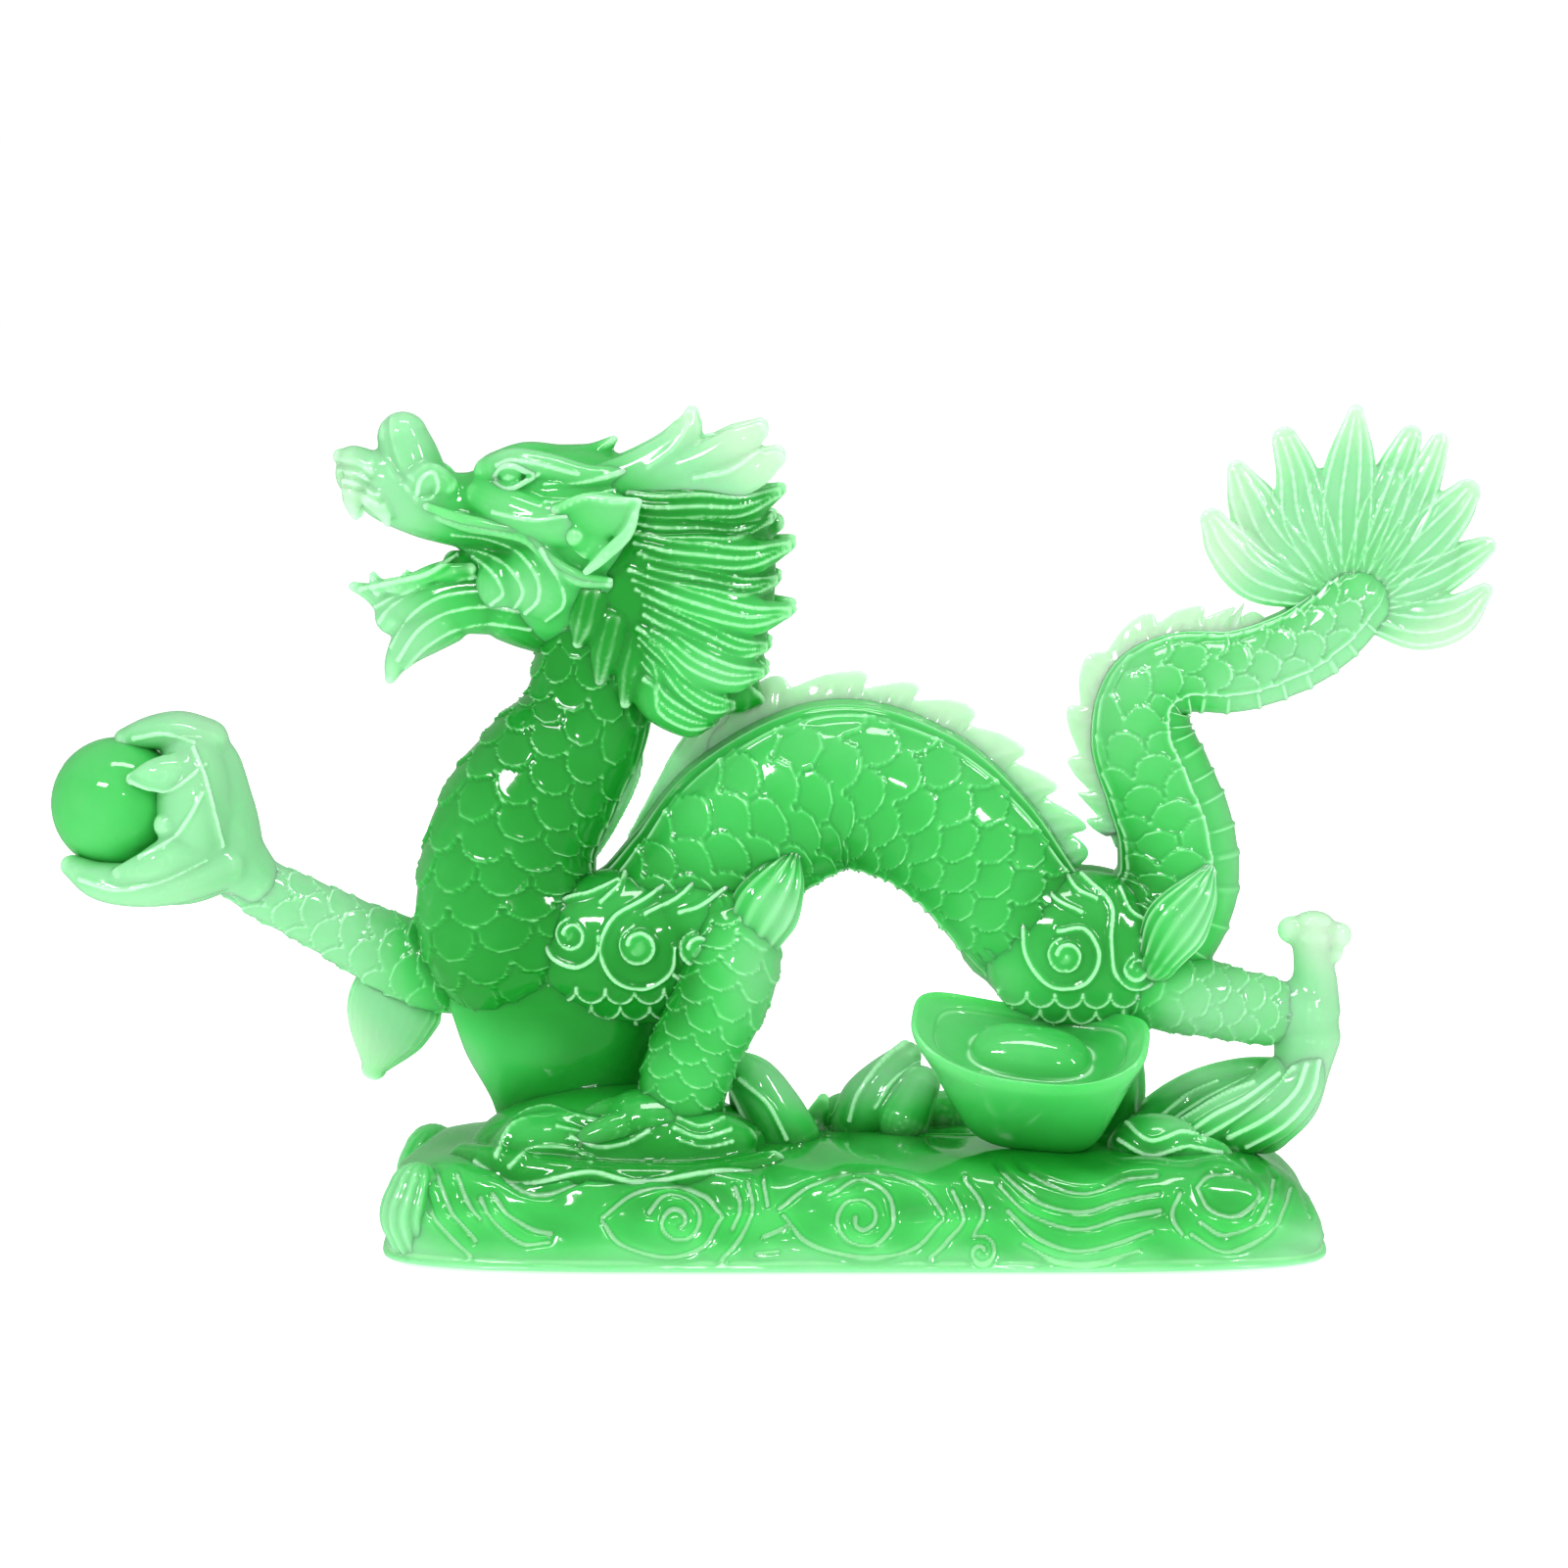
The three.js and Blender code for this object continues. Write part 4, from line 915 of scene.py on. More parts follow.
def build_near_foreleg():
    shoulder = [
        ball(-25.6, -3.6, 35.6, 12.0, (1.20, 0.68, 0.78), around=70),
        ball(-18.0, -4.8, 38.6, 8.0, (1.1, 0.82, 0.95), around=50),
        ball(-33.0, -9.0, 37.4, 1.7), ball(-25.1, -11.0, 36.4, 2.2), ball(-18.3, -11.0, 36.0, 2.1),
    ]
    shoulder_lines = [
        ([(-27.6, 43.6), (-30.6, 42.4), (-34.2, 41.2), (-36.2, 38.4), (-35.4, 35.2), (-32.6, 34.0),
          (-30.2, 35.4), (-29.8, 37.6)], 0.62, 0.34),
        ([(-20.4, 44.4), (-24.4, 41.8), (-28.2, 39.6), (-29.6, 36.0), (-28.0, 32.6), (-24.6, 31.6),
          (-21.6, 33.4), (-21.0, 36.2)], 0.62, 0.34),
        ([(-13.2, 40.6), (-15.2, 39.6), (-15.4, 36.2), (-16.0, 32.6), (-18.6, 31.4), (-21.2, 33.2)],
         0.58, 0.34),
        ([(-16.8, 46), (-20.4, 42.2), (-24.4, 40.2)], 0.5, 0.3),
        ([(-26.6, 45.6), (-27.4, 43.4), (-29.6, 41.4)], 0.5, 0.3),
        ([(-14.4, 43.6), (-18, 41.2), (-20.4, 40.4)], 0.5, 0.3),
        (swirl(-25.2, 36.6, 2.2), 0.4, 0.3), (swirl(-33.0, 37.6, 1.8), 0.4, 0.3),
        (swirl(-18.3, 36.2, 2.0), 0.4, 0.3),
    ]
    shoulder_lines += scale_arcs(-37.6, -18, 31.4, 27.0, 3.4)
    cast("near_shoulder_skin", shoulder, ["near_shoulder"], "jade_limb", voxel=0.27, relax=2,
         lines=shoulder_lines, sides=(NEAR,))
    forearm = [(-15.6, -7.4, 39.6, 4.0), (-14.4, -8.6, 35.4, 5.6), (-15.8, -9.4, 30, 5.5),
               (-18, -9.4, 25.6, 5.2), (-19.6, -9.6, 21.4, 5.2), (-20.4, -9.8, 18, 4.8)]
    cast("near_forearm_skin", [limb(forearm, around=96, step=0.25,
                                    relief=scales(pitch=2.3, count=7, rise=0.4))],
         ["near_forearm"], "jade_body")
    foot = [
        ball(-23.5, -10.4, 15.8, 5.2, (1.3, 1.0, 0.78)),
        limb([(-24, -12.4, 16.0, 2.4), (-28.4, -13.8, 15.2, 2.0), (-31.6, -14.2, 13.8, 1.6),
              (-33.4, -14.2, 12.6, 0.9)]),
        limb([(-24, -9.8, 16.6, 2.6), (-28.6, -10.8, 16.4, 2.2), (-32.4, -11.4, 15.0, 1.7),
              (-34.6, -11.6, 13.4, 0.9)]),
        limb([(-24, -7.2, 16.8, 2.4), (-28.4, -6.6, 16.8, 2.1), (-32.0, -6.2, 15.6, 1.6),
              (-34, -6.0, 14, 0.9)]),
        limb([(-20.6, -12.6, 15.2, 2.4), (-17.4, -13.8, 14.4, 1.8), (-14.6, -14.2, 13.2, 0.9)]),
    ]
    cast("near_forefoot_skin", foot, ["near_forefoot"], "jade_body", voxel=0.27, relax=2)
    tuft = limb([(-7.4, -8.6, 46.8, 1.0), (-8.6, -9.2, 44.2, 2.8), (-10.4, -9.8, 40.8, 4.0),
                 (-12, -9.8, 37.2, 3.2)],
                wide=0.8, around=60, step=0.3, relief=flutes(11, 0.4, 0.03))
    cast("near_elbow_tuft_skin", [tuft], ["near_elbow_tuft"], "jade_body")


def build_hind_legs():
    haunch = [
        ball(26.8, -3.0, 34.8, 9.8, (1.20, 0.74, 0.98), around=70),
        ball(24.6, -8.9, 35.2, 2.2), ball(32.2, -8.2, 33.0, 1.8),
    ]
    haunch_lines = [
        ([(20.4, 43.0), (19.8, 39.0), (20.2, 34.8), (23.0, 31.6), (26.8, 32.0), (28.4, 35.2), (26.8, 38.2),
          (23.8, 38.0)],
         0.62, 0.34),
        ([(26.6, 44.0), (29.8, 41.0), (29.8, 37.0), (30.4, 33.0), (33.2, 31.2), (35.8, 33.0), (35.6, 36.0),
          (33.4, 36.8)],
         0.58, 0.34),
        (swirl(24.6, 35.2, 2.0), 0.4, 0.3), (swirl(32.9, 33.6, 1.5), 0.4, 0.3),
        ([(22.2, 43.8), (23.4, 41.6), (26.4, 40.2)], 0.5, 0.3),
        ([(24.6, 44.6), (26.0, 42.6), (28.2, 41.6)], 0.5, 0.3),
        ([(31.0, 42.6), (32.2, 40.2), (34.4, 38.8)], 0.5, 0.3),
    ]
    haunch_lines += scale_arcs(18.6, 36, 30.6, 26.0, 3.2)
    cast("near_haunch_skin", haunch, ["near_haunch"], "jade_limb", voxel=0.27, relax=2, lines=haunch_lines,
         sides=(NEAR,))
    cast("far_haunch_skin", [mirrored(form) for form in haunch], ["far_haunch"], "jade_limb", voxel=0.27,
         relax=2,
         lines=haunch_lines, sides=(FAR,))
    tuft = limb([(41.4, -7, 44.8, 0.8), (39.8, -8, 42, 2.6), (37.4, -8.6, 38.4, 3.7),
                 (35.4, -8.4, 34.4, 2.4)],
                wide=0.6, around=60, step=0.3, relief=flutes(13, 0.4, 0.03))
    cast("hind_tuft_skin", [tuft], ["hind_tuft"], "jade_body")
    leg = [(30, -2.4, 32.4, 5.2), (34, -2.8, 31.4, 5.4), (38, -3.2, 30.2, 5.0), (43, -2.6, 28.8, 4.3),
           (48, -2.1, 27.7, 4.0), (52.0, -2, 27.2, 3.4)]
    cast("hind_leg_skin", [limb(leg, around=76, step=0.25, relief=scales(pitch=2.3, count=6, rise=0.35))],
         ["hind_leg"], "jade_limb")
    shank = [
        ball(53.2, -2, 26.4, 4.5, (0.92, 0.85, 1.2)),
        limb([(47.6, -2, 27.7, 2.6), (50.6, -2, 27.4, 3.6), (53.2, -2, 27, 4.2)], around=26),
        limb([(53.6, -2, 24.5, 4.0), (52.9, -2, 20.6, 3.4), (51.6, -2.4, 17, 3.5), (48.4, -3.4, 14.2, 3.6)],
             around=30),
        limb([(54, -2, 28, 3.6), (54.4, -2, 31.4, 2.7), (54.0, -2, 34.6, 2.2), (54.0, -2, 36.4, 2.6)],
             around=26),
        ball(51.6, -2, 37.2, 1.7), ball(54.2, -2, 38.0, 1.9, (1.3, 1.2, 0.8)), ball(57.2, -2, 36.6, 1.6),
        ball(56.6, -2, 34.4, 1.2),
    ]
    cast("raised_hind_foot", shank, ["hind_shank", "heel_spur"], "jade_thin", voxel=0.27, relax=5)
    flame = [
        limb([(53.6, -3.4, 22, 2.2), (52.6, -4.4, 18.4, 2.6), (49.6, -5.2, 15.4, 2.7),
              (45.0, -5.6, 13.0, 2.7)], around=24),
        limb([(52.0, -2, 21.6, 2.0), (48.2, -3.6, 18.0, 2.5), (43.4, -5.0, 15.2, 2.7),
              (39.0, -6, 12.6, 2.7)], around=24),
        limb([(51.4, 0, 20.2, 1.5), (46.4, 0, 20.0, 1.7), (41.6, 0, 19.0, 1.6), (38.0, 0, 17.4, 1.5),
              (35.4, 0, 15.8, 1.3)],
             wide=0.8),
        limb([(50.0, 0, 17.2, 3.0), (44.6, 0, 16.0, 3.6), (39.4, 0, 14.2, 3.6), (34.6, -1, 12.4, 3.0)],
             wide=0.9,
             around=24),
    ]
    flame_lines = [
        ([(54.6, 22.0), (53.6, 18.4), (50.6, 15.0), (46.0, 12.4)], 0.5, 0.34),
        ([(53.2, 21.6), (51.8, 18.6), (48.6, 15.8), (44.0, 13.4)], 0.5, 0.34),
        ([(51.8, 21.2), (49.2, 18.4), (45.4, 16.0), (41.0, 13.6)], 0.5, 0.34),
        ([(50.0, 20.4), (46.0, 17.8), (42.0, 15.8), (38.0, 13.2)], 0.45, 0.34),
        ([(47.0, 19.4), (42.6, 17.6), (38.8, 15.4), (36.0, 13.4)], 0.45, 0.34),
        ([(43.0, 19.0), (39.6, 17.4), (36.6, 15.2), (34.2, 13.4)], 0.4, 0.34),
    ]
    cast("hind_flame_cloud", flame, ["hind_foot"], "jade_limb", voxel=0.27, relax=2, lines=flame_lines,
         sides=(NEAR,))


# ---------------------------------------------------------------- fins and plume

def build_plume():
    petals = [
        [(54.6, 76.8, 1.6), (47.6, 79.0, 2.9), (43.8, 82.6, 2.5), (41.9, 85.6, 1.3)],
        [(55.4, 77.6, 1.8), (49.2, 83.0, 3.2), (46.6, 87.8, 2.6), (44.9, 91.4, 1.1)],
        [(56.4, 78.0, 1.8), (53.0, 85.4, 3.0), (51.8, 91.2, 2.2), (50.4, 95.0, 1.4)],
        [(57.6, 78.2, 2.0), (57.6, 86.4, 3.2), (58.2, 93.0, 2.5), (58.7, 98.6, 0.6)],
        [(58.8, 78.2, 2.0), (61.4, 85.4, 2.8), (63.8, 91.6, 2.1), (65.3, 95.4, 1.2)],
        [(59.6, 77.8, 2.0), (64.6, 86.0, 2.6), (67.2, 91.4, 1.8), (68.6, 94.8, 1.0)],
        [(60.4, 77.2, 2.0), (66.4, 83.0, 3.0), (70.0, 86.6, 2.4), (71.8, 88.8, 1.5)],
        [(60.8, 76.6, 2.0), (67.2, 78.6, 2.6), (71.6, 80.8, 2.0), (74.4, 82.4, 1.1)],
        [(60.6, 74.6, 2.0), (66.4, 73.4, 2.9), (71.0, 74.4, 2.4), (74.4, 77.4, 0.7)],
    ]
    shells, streaks = [], []
    for i, rows in enumerate(petals):
        y = (-1.0, 0.6, -0.3)[i % 3]
        shells.append(limb([(x, y, z, 1.12 * radius) for x, z, radius in rows], wide=0.40, around=44,
                           step=0.35))
        spots = np.array(rows)[:, :2]
        heading = unit(np.gradient(spots, axis=0))
        aside = np.stack([-heading[:, 1], heading[:, 0]], axis=1)
        for share in (-0.85, -0.35, 0.25, 0.85):
            place = spots + aside * np.array(rows)[:, 2:] * share
            streaks.append(([tuple(spot) for spot in place], 0.26, 0.26))
    shells.append(ball(58.8, 0, 82.4, 9.8, (1.24, 0.27, 1.0), around=70))
    shells.append(limb([(57.0, 0, 75.4, 4.2), (58.8, 0, 79.6, 3.4), (60.5, 0, 84, 1.6)], wide=0.7, around=60))
    cast("tail_plume_skin", shells, ["tail_plume"], "jade_thin", voxel=0.25, relax=2, lines=streaks)


def fin(path_rows, teeth, height, thick, lean=0.7, root=0.72):
    """Saw-toothed fin on the outer side of a body line. Its height is height * (0.38 + 0.62 * crown),
    where the crown of a tooth climbs as a sine to its peak and drops as a power of a cosine. A tooth
    leans towards the tail by lean * height * crown, and the fin thins out towards its edge."""
    peak, fade = 0.66, 4.0
    along, line = smooth(path_rows, 0.2)
    tangent = unit(np.gradient(line[:, :3], axis=0))
    out = np.stack([-tangent[:, 2], np.zeros(len(line)), tangent[:, 0]], axis=1)
    phase = along / along[-1] * teeth
    saw = np.mod(phase, 1.0)
    ends = np.clip(np.minimum(along, along[-1] - along) / fade, 0, 1) ** 0.9
    drop = np.cos(np.pi / 2 * (saw - peak) / 0.34) ** 0.6
    crown = np.where(saw < peak, np.sin(np.pi / 2 * saw / peak), drop)
    tall = height * (0.38 + 0.62 * crown) * ends
    turn = np.linspace(0, 2 * np.pi, 28, endpoint=False)
    lift = 0.5 * (1 - np.cos(turn))
    base = line[:, :3] + out * (line[:, 3] * root)[:, None]
    reach = line[:, 3] * (1 - root) + tall
    push = lean * height * crown * ends
    width = thick * (1 - lift ** 1.6)[None, :] * np.sign(np.sin(turn))[None, :] * 0.5
    width = width + 0.12 * np.sin(turn)[None, :]
    wave = 1 + 0.25 * np.cos(2 * np.pi * phase * 3)[:, None] * lift[None, :]
    rings = (base[:, None] + out[:, None] * (reach[:, None] * lift[None, :])[..., None]
             + tangent[:, None] * (push[:, None] * lift[None, :] ** 2)[..., None]
             + ACROSS * (width * wave)[..., None])
    return closed_grid(rings, rings[0].mean(0), rings[-1].mean(0))


def build_fins():
    back = [(-12.6, 0, 49.2, 10), (-8, 0, 53, 10.2), (-2.5, 0, 54.3, 10.2), (6.7, 0, 52.2, 9.8),
            (13.7, 0, 46.8, 9.1), (20, 0, 39, 8.4)]
    cast("back_crest_skin", [fin(back, 9, 3.5, 2.6)], ["back_crest"], "jade_edge", relax=4)
    tail = [(38.0, 0, 47.0, 7.1), (37.7, 0, 50.0, 7), (35.9, 0, 54.3, 6.6), (33.8, 0, 60, 6.1),
            (34.6, 0, 65.2, 5.5), (38.6, 0, 67.6, 4.9), (45, 0, 67.8, 4.9), (50, 0, 69.4, 4.8)]
    cast("tail_crest_skin", [fin(tail, 11, 2.8, 2.4)], ["tail_crest"], "jade_edge", relax=4)
    web = [limb([(-27, 0, 61, 1.8), (-27.4, 0, 56, 2.2), (-29.4, 0, 50, 1.5), (-31, 0, 46, 0.7)], wide=0.5,
                around=50,
                relief=flutes(13, 0.4)),
           limb([(-16, 0, 62.6, 1.4), (-18.4, 0, 58, 2.6), (-21.8, 0, 53, 2.2), (-26, 0, 48, 0.8)],
                wide=0.35, around=50,
                relief=flutes(13, 0.4))]
    cast("nape_fin_skin", web, ["nape_fin"], "jade_edge", voxel=0.26, relax=1)


# ---------------------------------------------------------------- base, clouds and ingot

def build_base():
    """Cloud bank: an oval plan carried up a domed profile of (share of the half depth, height), so
    that the sides lean in by the share that is missing; long swells ripple it, and it sinks
    towards its right end."""
    _, _, (length, depth, top) = design_box("cloud_base")
    half, deep = length / 2, depth / 2
    turn = np.linspace(0, 2 * np.pi, 3600)
    power = 0.42
    plan = np.stack([half * squared(np.cos(turn), power), deep * squared(np.sin(turn), power)], axis=1)
    run = np.concatenate([[0], np.cumsum(np.linalg.norm(np.diff(plan, axis=0), axis=1))])
    even = np.linspace(0, run[-1], 1000, endpoint=False)
    plan = np.stack([np.interp(even, run, plan[:, 0]), np.interp(even, run, plan[:, 1])], axis=1)
    dome = [(0.3, 0), (0.97, 0), (1.0, 1.4), (1.0, 4), (0.985, 6.4), (0.95, 8.6), (0.88, 10.4), (0.78, 11.6),
            (0.62, top + 0.2), (0.4, top + 0.5), (0.1, top + 0.6)]
    _, line = smooth([(share * deep, 0, height, 0) for share, height in dome], 0.27)
    wall = (line[:, 2] > 0.2) & (line[:, 2] < 11.4)
    line = line[wall | (np.arange(len(line)) % 4 == 0)]
    inset, height = (deep - line[:, 0])[:, None], line[:, 2][:, None]
    x = plan[None, :, 0] * (half - inset) / half
    y = plan[None, :, 1] * (deep - inset) / deep
    swell = 0.4 * np.sin(0.42 * x + 1.3 * np.sin(0.5 * height)) * np.sin(0.55 * height + 0.21 * x + 0.3 * y)
    swell = swell + 0.15 * np.sin(1.5 * height + 1.4 * np.sin(0.33 * x) + 0.35 * x + 0.2 * y)
    swell = swell * np.clip(height / 3, 0, 1)
    outward = unit(np.stack([plan[:, 0] / half ** 2, plan[:, 1] / deep ** 2], axis=1))
    sink = 1 - 0.42 * np.clip((x - 42) / 13, 0, 1) ** 1.5 - 0.10 * np.clip((-46 - x) / 9, 0, 1)
    rings = np.stack([x + outward[:, 0] * swell, y + outward[:, 1] * swell, height * sink + 0.5 * swell],
                     axis=-1)
    rings[..., 2] = np.maximum(rings[..., 2], 0)
    shell = closed_grid(rings, rings[0].mean(0), rings[-1].mean(0))
    lines = [(route, 0.62, 0.34) for route in base_waves()]
    cast("cloud_base_skin", [shell], ["cloud_base"], "jade_base", lines=lines)
    roll = [limb([(-51.2, side * 13.6, 3.3, 3.3), (-51.6, side * 13.6, 5.4, 3.7),
                  (-51.0, side * 13.0, 8.2, 3.2)],
                 wide=1.2, around=80, relief=flutes(14, 0.5)) for side in (NEAR, FAR)]
    cast("scroll_end", roll, ["cloud_base"], "jade_base", relax=1)


def base_waves():
    """Wave and cloud lines of the base's long faces, as x-z points."""
    return [
        [(-50.6, 9.6), (-48.6, 5.4), (-44.6, 1.6)], [(-48.6, 10.2), (-46.8, 6.6), (-44, 3.4)],
        [(-46.2, 10.6), (-45.2, 8.2), (-43.4, 6)],
        [(-43.4, 8.2), (-41.4, 5.2), (-38.4, 3.2), (-35.4, 3.6)],
        [(-42.0, 8.8), (-40, 6.6), (-37.4, 5.0), (-35.2, 4.4)],
        [(-41, 11), (-38.6, 9.4), (-35.4, 9.0), (-31.6, 10.6)],
        [(-40, 12), (-37.6, 10.8), (-35, 10.6), (-32.6, 11.8)],
        [(-29.2, 6.4), (-25.6, 9.0), (-21, 10.0), (-17.4, 8.8), (-15.6, 7.0)],
        [(-29.2, 6.0), (-27, 3.4), (-22, 1.8), (-17.6, 3.0), (-15.4, 6.6)],
        swirl(-20.6, 6.0, 3.4, turns=1.6, start=0.45, grip=0.2, sense=-1),
        [(-14, 9.8), (-13.4, 7.6), (-14.2, 5)], [(-12.4, 10.2), (-12.0, 7.4), (-13.2, 4.2), (-15.4, 1.6)],
        [(-10.6, 10.4), (-10.2, 8)],
        [(-8.8, 7.6), (-4.4, 10.4), (1.6, 11.4), (7, 10.2), (10, 7)],
        [(-8.4, 6.8), (-5.6, 3.6), (0.6, 1.8), (6.6, 2.8), (10, 6.4)],
        swirl(0.6, 6.4, 4.6, turns=1.9, start=0.4, grip=0.15, sense=-1),
        [(-10.6, 4.2), (-9.0, 4.8), (-7.6, 5.6)], [(-11.4, 2.2), (-9, 2.6)],
        [(11.2, 9.4), (12.4, 6.2), (10.4, 3.6), (8.6, 1.8)], [(12.6, 10.6), (14.6, 7.4), (13.6, 4.2)],
        swirl(14.4, 2.4, 1.8, turns=1.2, start=0.3, grip=0.3, sense=-1),
        [(16.6, 10.0), (20.2, 6.6), (25.4, 5.0), (30.6, 6.4), (35, 7.0)],
        [(16.4, 11.8), (20.6, 8.6), (25.6, 7.0), (30.4, 8.2), (34.8, 9)],
        [(19, 11.8), (22.6, 10.0), (26.4, 9.2), (31, 10.6), (34.8, 11)],
        [(17.4, 7.2), (20.8, 4.2), (25.6, 2.6), (30.4, 3.6), (34, 4.8)],
        [(19.2, 3.4), (23, 1.4), (28, 1.2), (32.6, 2.6)],
        [(37.4, 9.0), (36.4, 6.6), (37.6, 4.4)],
        [(39.4, 9.6), (41, 7.2), (44.4, 6.4), (47, 8.8), (44.6, 10.6), (41, 10.8), (39.4, 9.6)],
        [(39.6, 5.8), (42.6, 4.0), (46.4, 5.4), (49, 9.4), (49.4, 12)],
        [(38.6, 4.4), (42.6, 2.2), (47.4, 3.6), (51, 8)],
        [(51, 11), (52.4, 8), (53.4, 5)],
    ]


def build_clouds():
    front = [
        ball(-27.5, -5.0, 10.6, 15.4, (1.18, 0.76, 0.56), around=80),
        ball(-35.0, -11.0, 12.6, 5.6, (1.35, 0.9, 0.80), around=40),
        ball(-20.5, -11.6, 13.2, 5.8, (1.6, 0.9, 0.80), around=40),
        ball(-28, 8, 11.6, 9, (1.6, 0.9, 0.6), around=40),
        limb([(-45.6, -9, 10.8, 2.2), (-42.0, -13.4, 11.0, 2.4), (-36, -16.4, 10.6, 2.2),
              (-28, -17.4, 10.0, 2.2), (-18, -17, 10, 2.2), (-10, -14, 10.8, 2.2)]),
    ]
    lines = [
        ([(-41.6, 12.6), (-39.8, 15.6), (-36.4, 17.2), (-32.4, 16.6), (-28.4, 16.2), (-24.6, 17.4),
          (-21, 19)], 0.5, 0.4),
        ([(-40, 11.6), (-37.6, 13.4), (-34, 13.6), (-30.6, 12.4)], 0.35, 0.35),
        ([(-33, 14.6), (-30, 13.6), (-26.6, 14.0), (-24, 15.4)], 0.4, 0.4),
        ([(-34.6, 15.8), (-31, 15.0), (-28.6, 15.2)], 0.3, 0.3),
        ([(-21, 15.8), (-18, 14.8), (-14.6, 15.4)], 0.35, 0.35),
        ([(-20.6, 16.8), (-18, 16.0), (-15.4, 16.6)], 0.3, 0.3),
        ([(-20.2, 14.6), (-17.4, 13.8), (-14.4, 14.2)], 0.3, 0.3),
        ([(-13, 17), (-11, 14), (-7.6, 12)], 0.4, 0.4),
        ([(-44, 11.6), (-39, 9.8), (-31, 11.2), (-24.8, 10.2), (-16, 11.2), (-8.6, 10.4)], 0.55, 0.36),
    ]
    cast("front_cloud_skin", front, ["front_cloud"], "jade_body", voxel=0.32, relax=3, lines=lines,
         sides=(NEAR,))
    lobe = [limb([(-14.4, -4, 22.0, 1.6), (-12.2, -4, 19.6, 3.2), (-10.4, -4, 16.0, 4.2),
                  (-8.6, -4, 12.0, 4.8)],
                 wide=0.8, around=36)]
    lobe_lines = [([(-13.4, 20), (-10.2, 17.2), (-8, 13.2)], 0.45, 0.34),
                  ([(-14.6, 19), (-12.6, 15.0), (-10.6, 12)], 0.45, 0.36)]
    cast("front_lobe_skin", lobe, ["front_cloud_lobe"], "jade_limb", voxel=0.27, relax=2, lines=lobe_lines,
         sides=(NEAR,))
    rear = [limb([(6.4, 4, 21.2, 1.8), (4.4, 4, 18.6, 3.0), (2.2, 4, 15.6, 3.8), (0.8, 4, 13, 3.6)],
                 around=28),
            limb([(8, 2, 18, 2.4), (6, 1, 14, 3.2)]),
            limb([(-3.6, 5, 15.8, 0.8), (-4.6, 5, 13.2, 1.6)], wide=0.7),
            ball(11, 8, 13, 3.4), ball(-1, 10, 12.6, 3.2)]
    rear_lines = [([(6.4, 23), (3.2, 20.4), (0.6, 17.0), (-0.4, 14)], 0.55, 0.36),
                  ([(7.6, 20.6), (4.6, 18.6), (2.6, 15.6)], 0.45, 0.34)]
    cast("rear_cloud_skin", rear, ["rear_cloud"], "jade_limb", voxel=0.3, relax=2, lines=rear_lines,
         sides=(NEAR,))
    small = [ball(35.2, -8.6, 12.4, 4.4, (1.3, 1, 0.9), around=40),
             ball(39.6, -9.6, 11.4, 3.2, (1.5, 1, 0.8)),
             ball(31, 8, 13, 4.0, (1.4, 1, 0.9))]
    small_lines = [([(31.6, 15.6), (34.4, 13.8), (38, 14.6), (40.8, 13.6)], 0.5, 0.32),
                   ([(31.0, 13.6), (34.4, 12.2), (38.4, 13.0), (42.6, 12.2)], 0.5, 0.32)]
    cast("hind_cloud_skin", small, ["hind_cloud"], "jade_base", voxel=0.27, relax=2, lines=small_lines,
         sides=(NEAR,))
    cast("chest_support_skin", [limb([(-34.6, 0, 29, 13.6), (-34.2, 0, 24, 12.2), (-33.4, 0, 18, 9.8),
                                      (-32.6, 0, 12.6, 9.2)], wide=0.62, around=80,
                                     relief=flutes(7, 0.3))], ["chest_support"], "jade_body")
    cast("rump_support_skin", [limb([(25, 2, 31, 6), (27, 2.4, 25, 6), (29, 3, 19, 5.6),
                                     (28.6, 4, 12.6, 6)], wide=0.85,
                                    around=60, relief=flutes(7, 0.5))], ["rump_support"], "jade_body")


def build_ingot():
    """Boat ingot: a profile of (share, height) turned about the upright axis and drawn out along X;
    the rim climbs towards both tips with the square of the reach, and the boat leans forward."""
    low, middle, (length, depth, _) = design_box("ingot")
    half, width = length / 2, depth / 2
    floor = low[2] - 0.6
    profile = [(0.02, 0.0), (0.40, 0.0), (0.50, 0.3), (0.60, 1.6), (0.74, 4.4), (0.88, 7.0), (0.97, 8.6),
               (1.0, 9.4), (0.995, 9.95), (0.965, 10.15), (0.93, 9.95), (0.83, 9.6), (0.79, 9.1),
               (0.64, 8.6), (0.54, 8.7), (0.50, 9.1), (0.44, 10.1), (0.32, 10.9), (0.16, 11.3),
               (0.02, 11.4)]
    _, line = smooth([(share * width, 0, height, 0) for share, height in profile], 0.12)
    share, height = (line[:, 0] / width)[:, None], line[:, 2][:, None]
    angle = np.linspace(0, 2 * np.pi, 260, endpoint=False)[None, :]
    rim = np.clip((share - 0.5) / 0.5, 0, 1) * np.clip((height - 1) / 6, 0, 1)
    x = share * half * squared(np.cos(angle), 0.66)
    y = share * width * 0.98 * squared(np.sin(angle), 0.66)
    z = 1.25 * height + 2.8 * rim * np.abs(np.cos(angle)) ** 1.6
    lean, turn = 0.50, -0.16
    y, z = y * math.cos(lean) + z * math.sin(lean) * -0.55, z * math.cos(lean) + y * math.sin(lean)
    rings = np.stack([middle[0] + x * math.cos(turn) - y * math.sin(turn),
                      middle[1] + 1.2 + x * math.sin(turn) + y * math.cos(turn),
                      floor + 2.2 + z - 0.10 * x], axis=-1)
    cast("ingot_skin", [closed_grid(rings, rings[0].mean(0), rings[-1].mean(0))], ["ingot"], "jade_ingot")


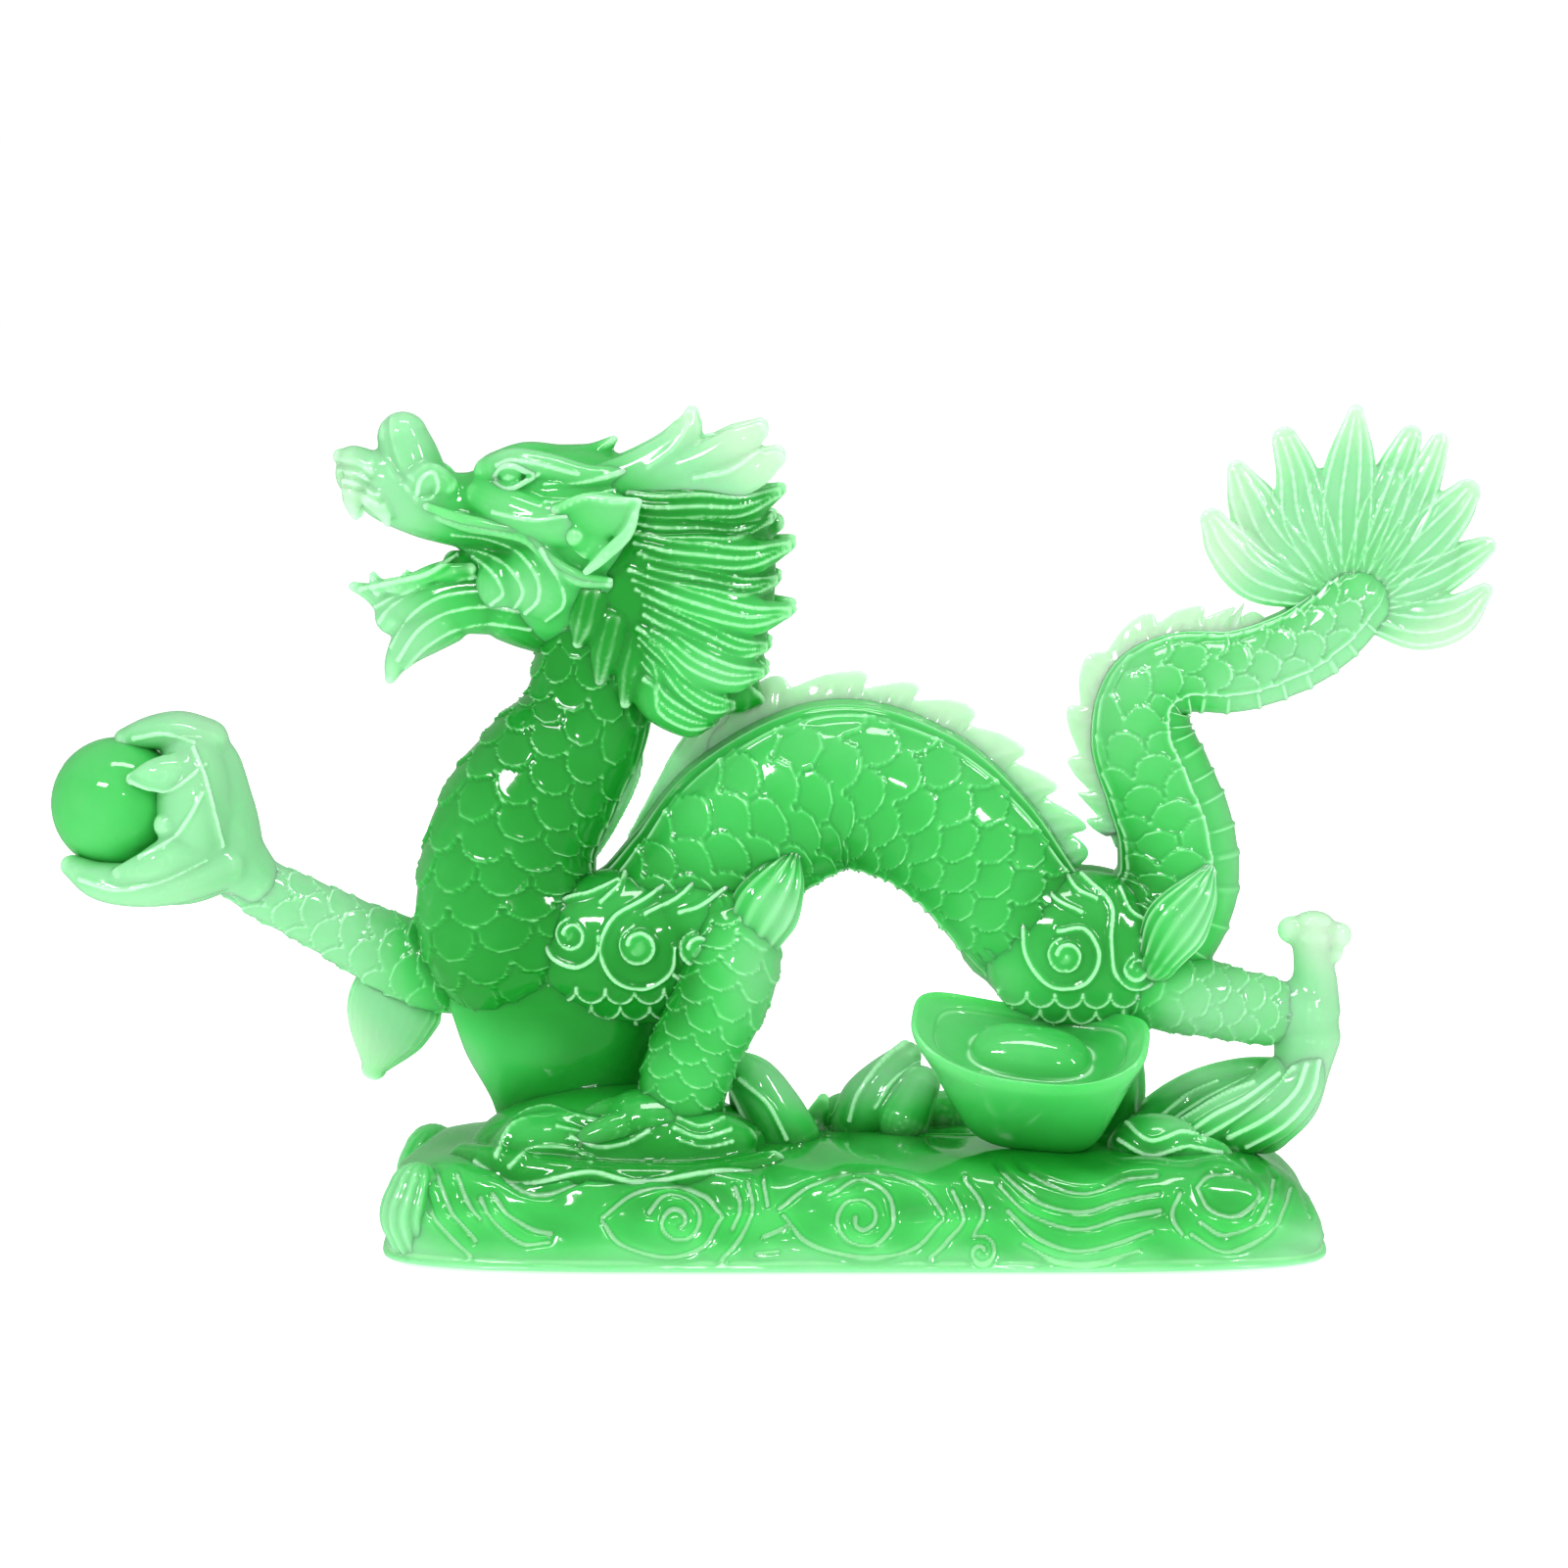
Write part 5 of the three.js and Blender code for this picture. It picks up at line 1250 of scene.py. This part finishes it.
SOLID = solidity_field()
build_studio()
make_finishes()
build_body()
build_head()
build_pearl_arm()
build_near_foreleg()
build_hind_legs()
build_plume()
build_fins()
build_base()
build_clouds()
build_ingot()
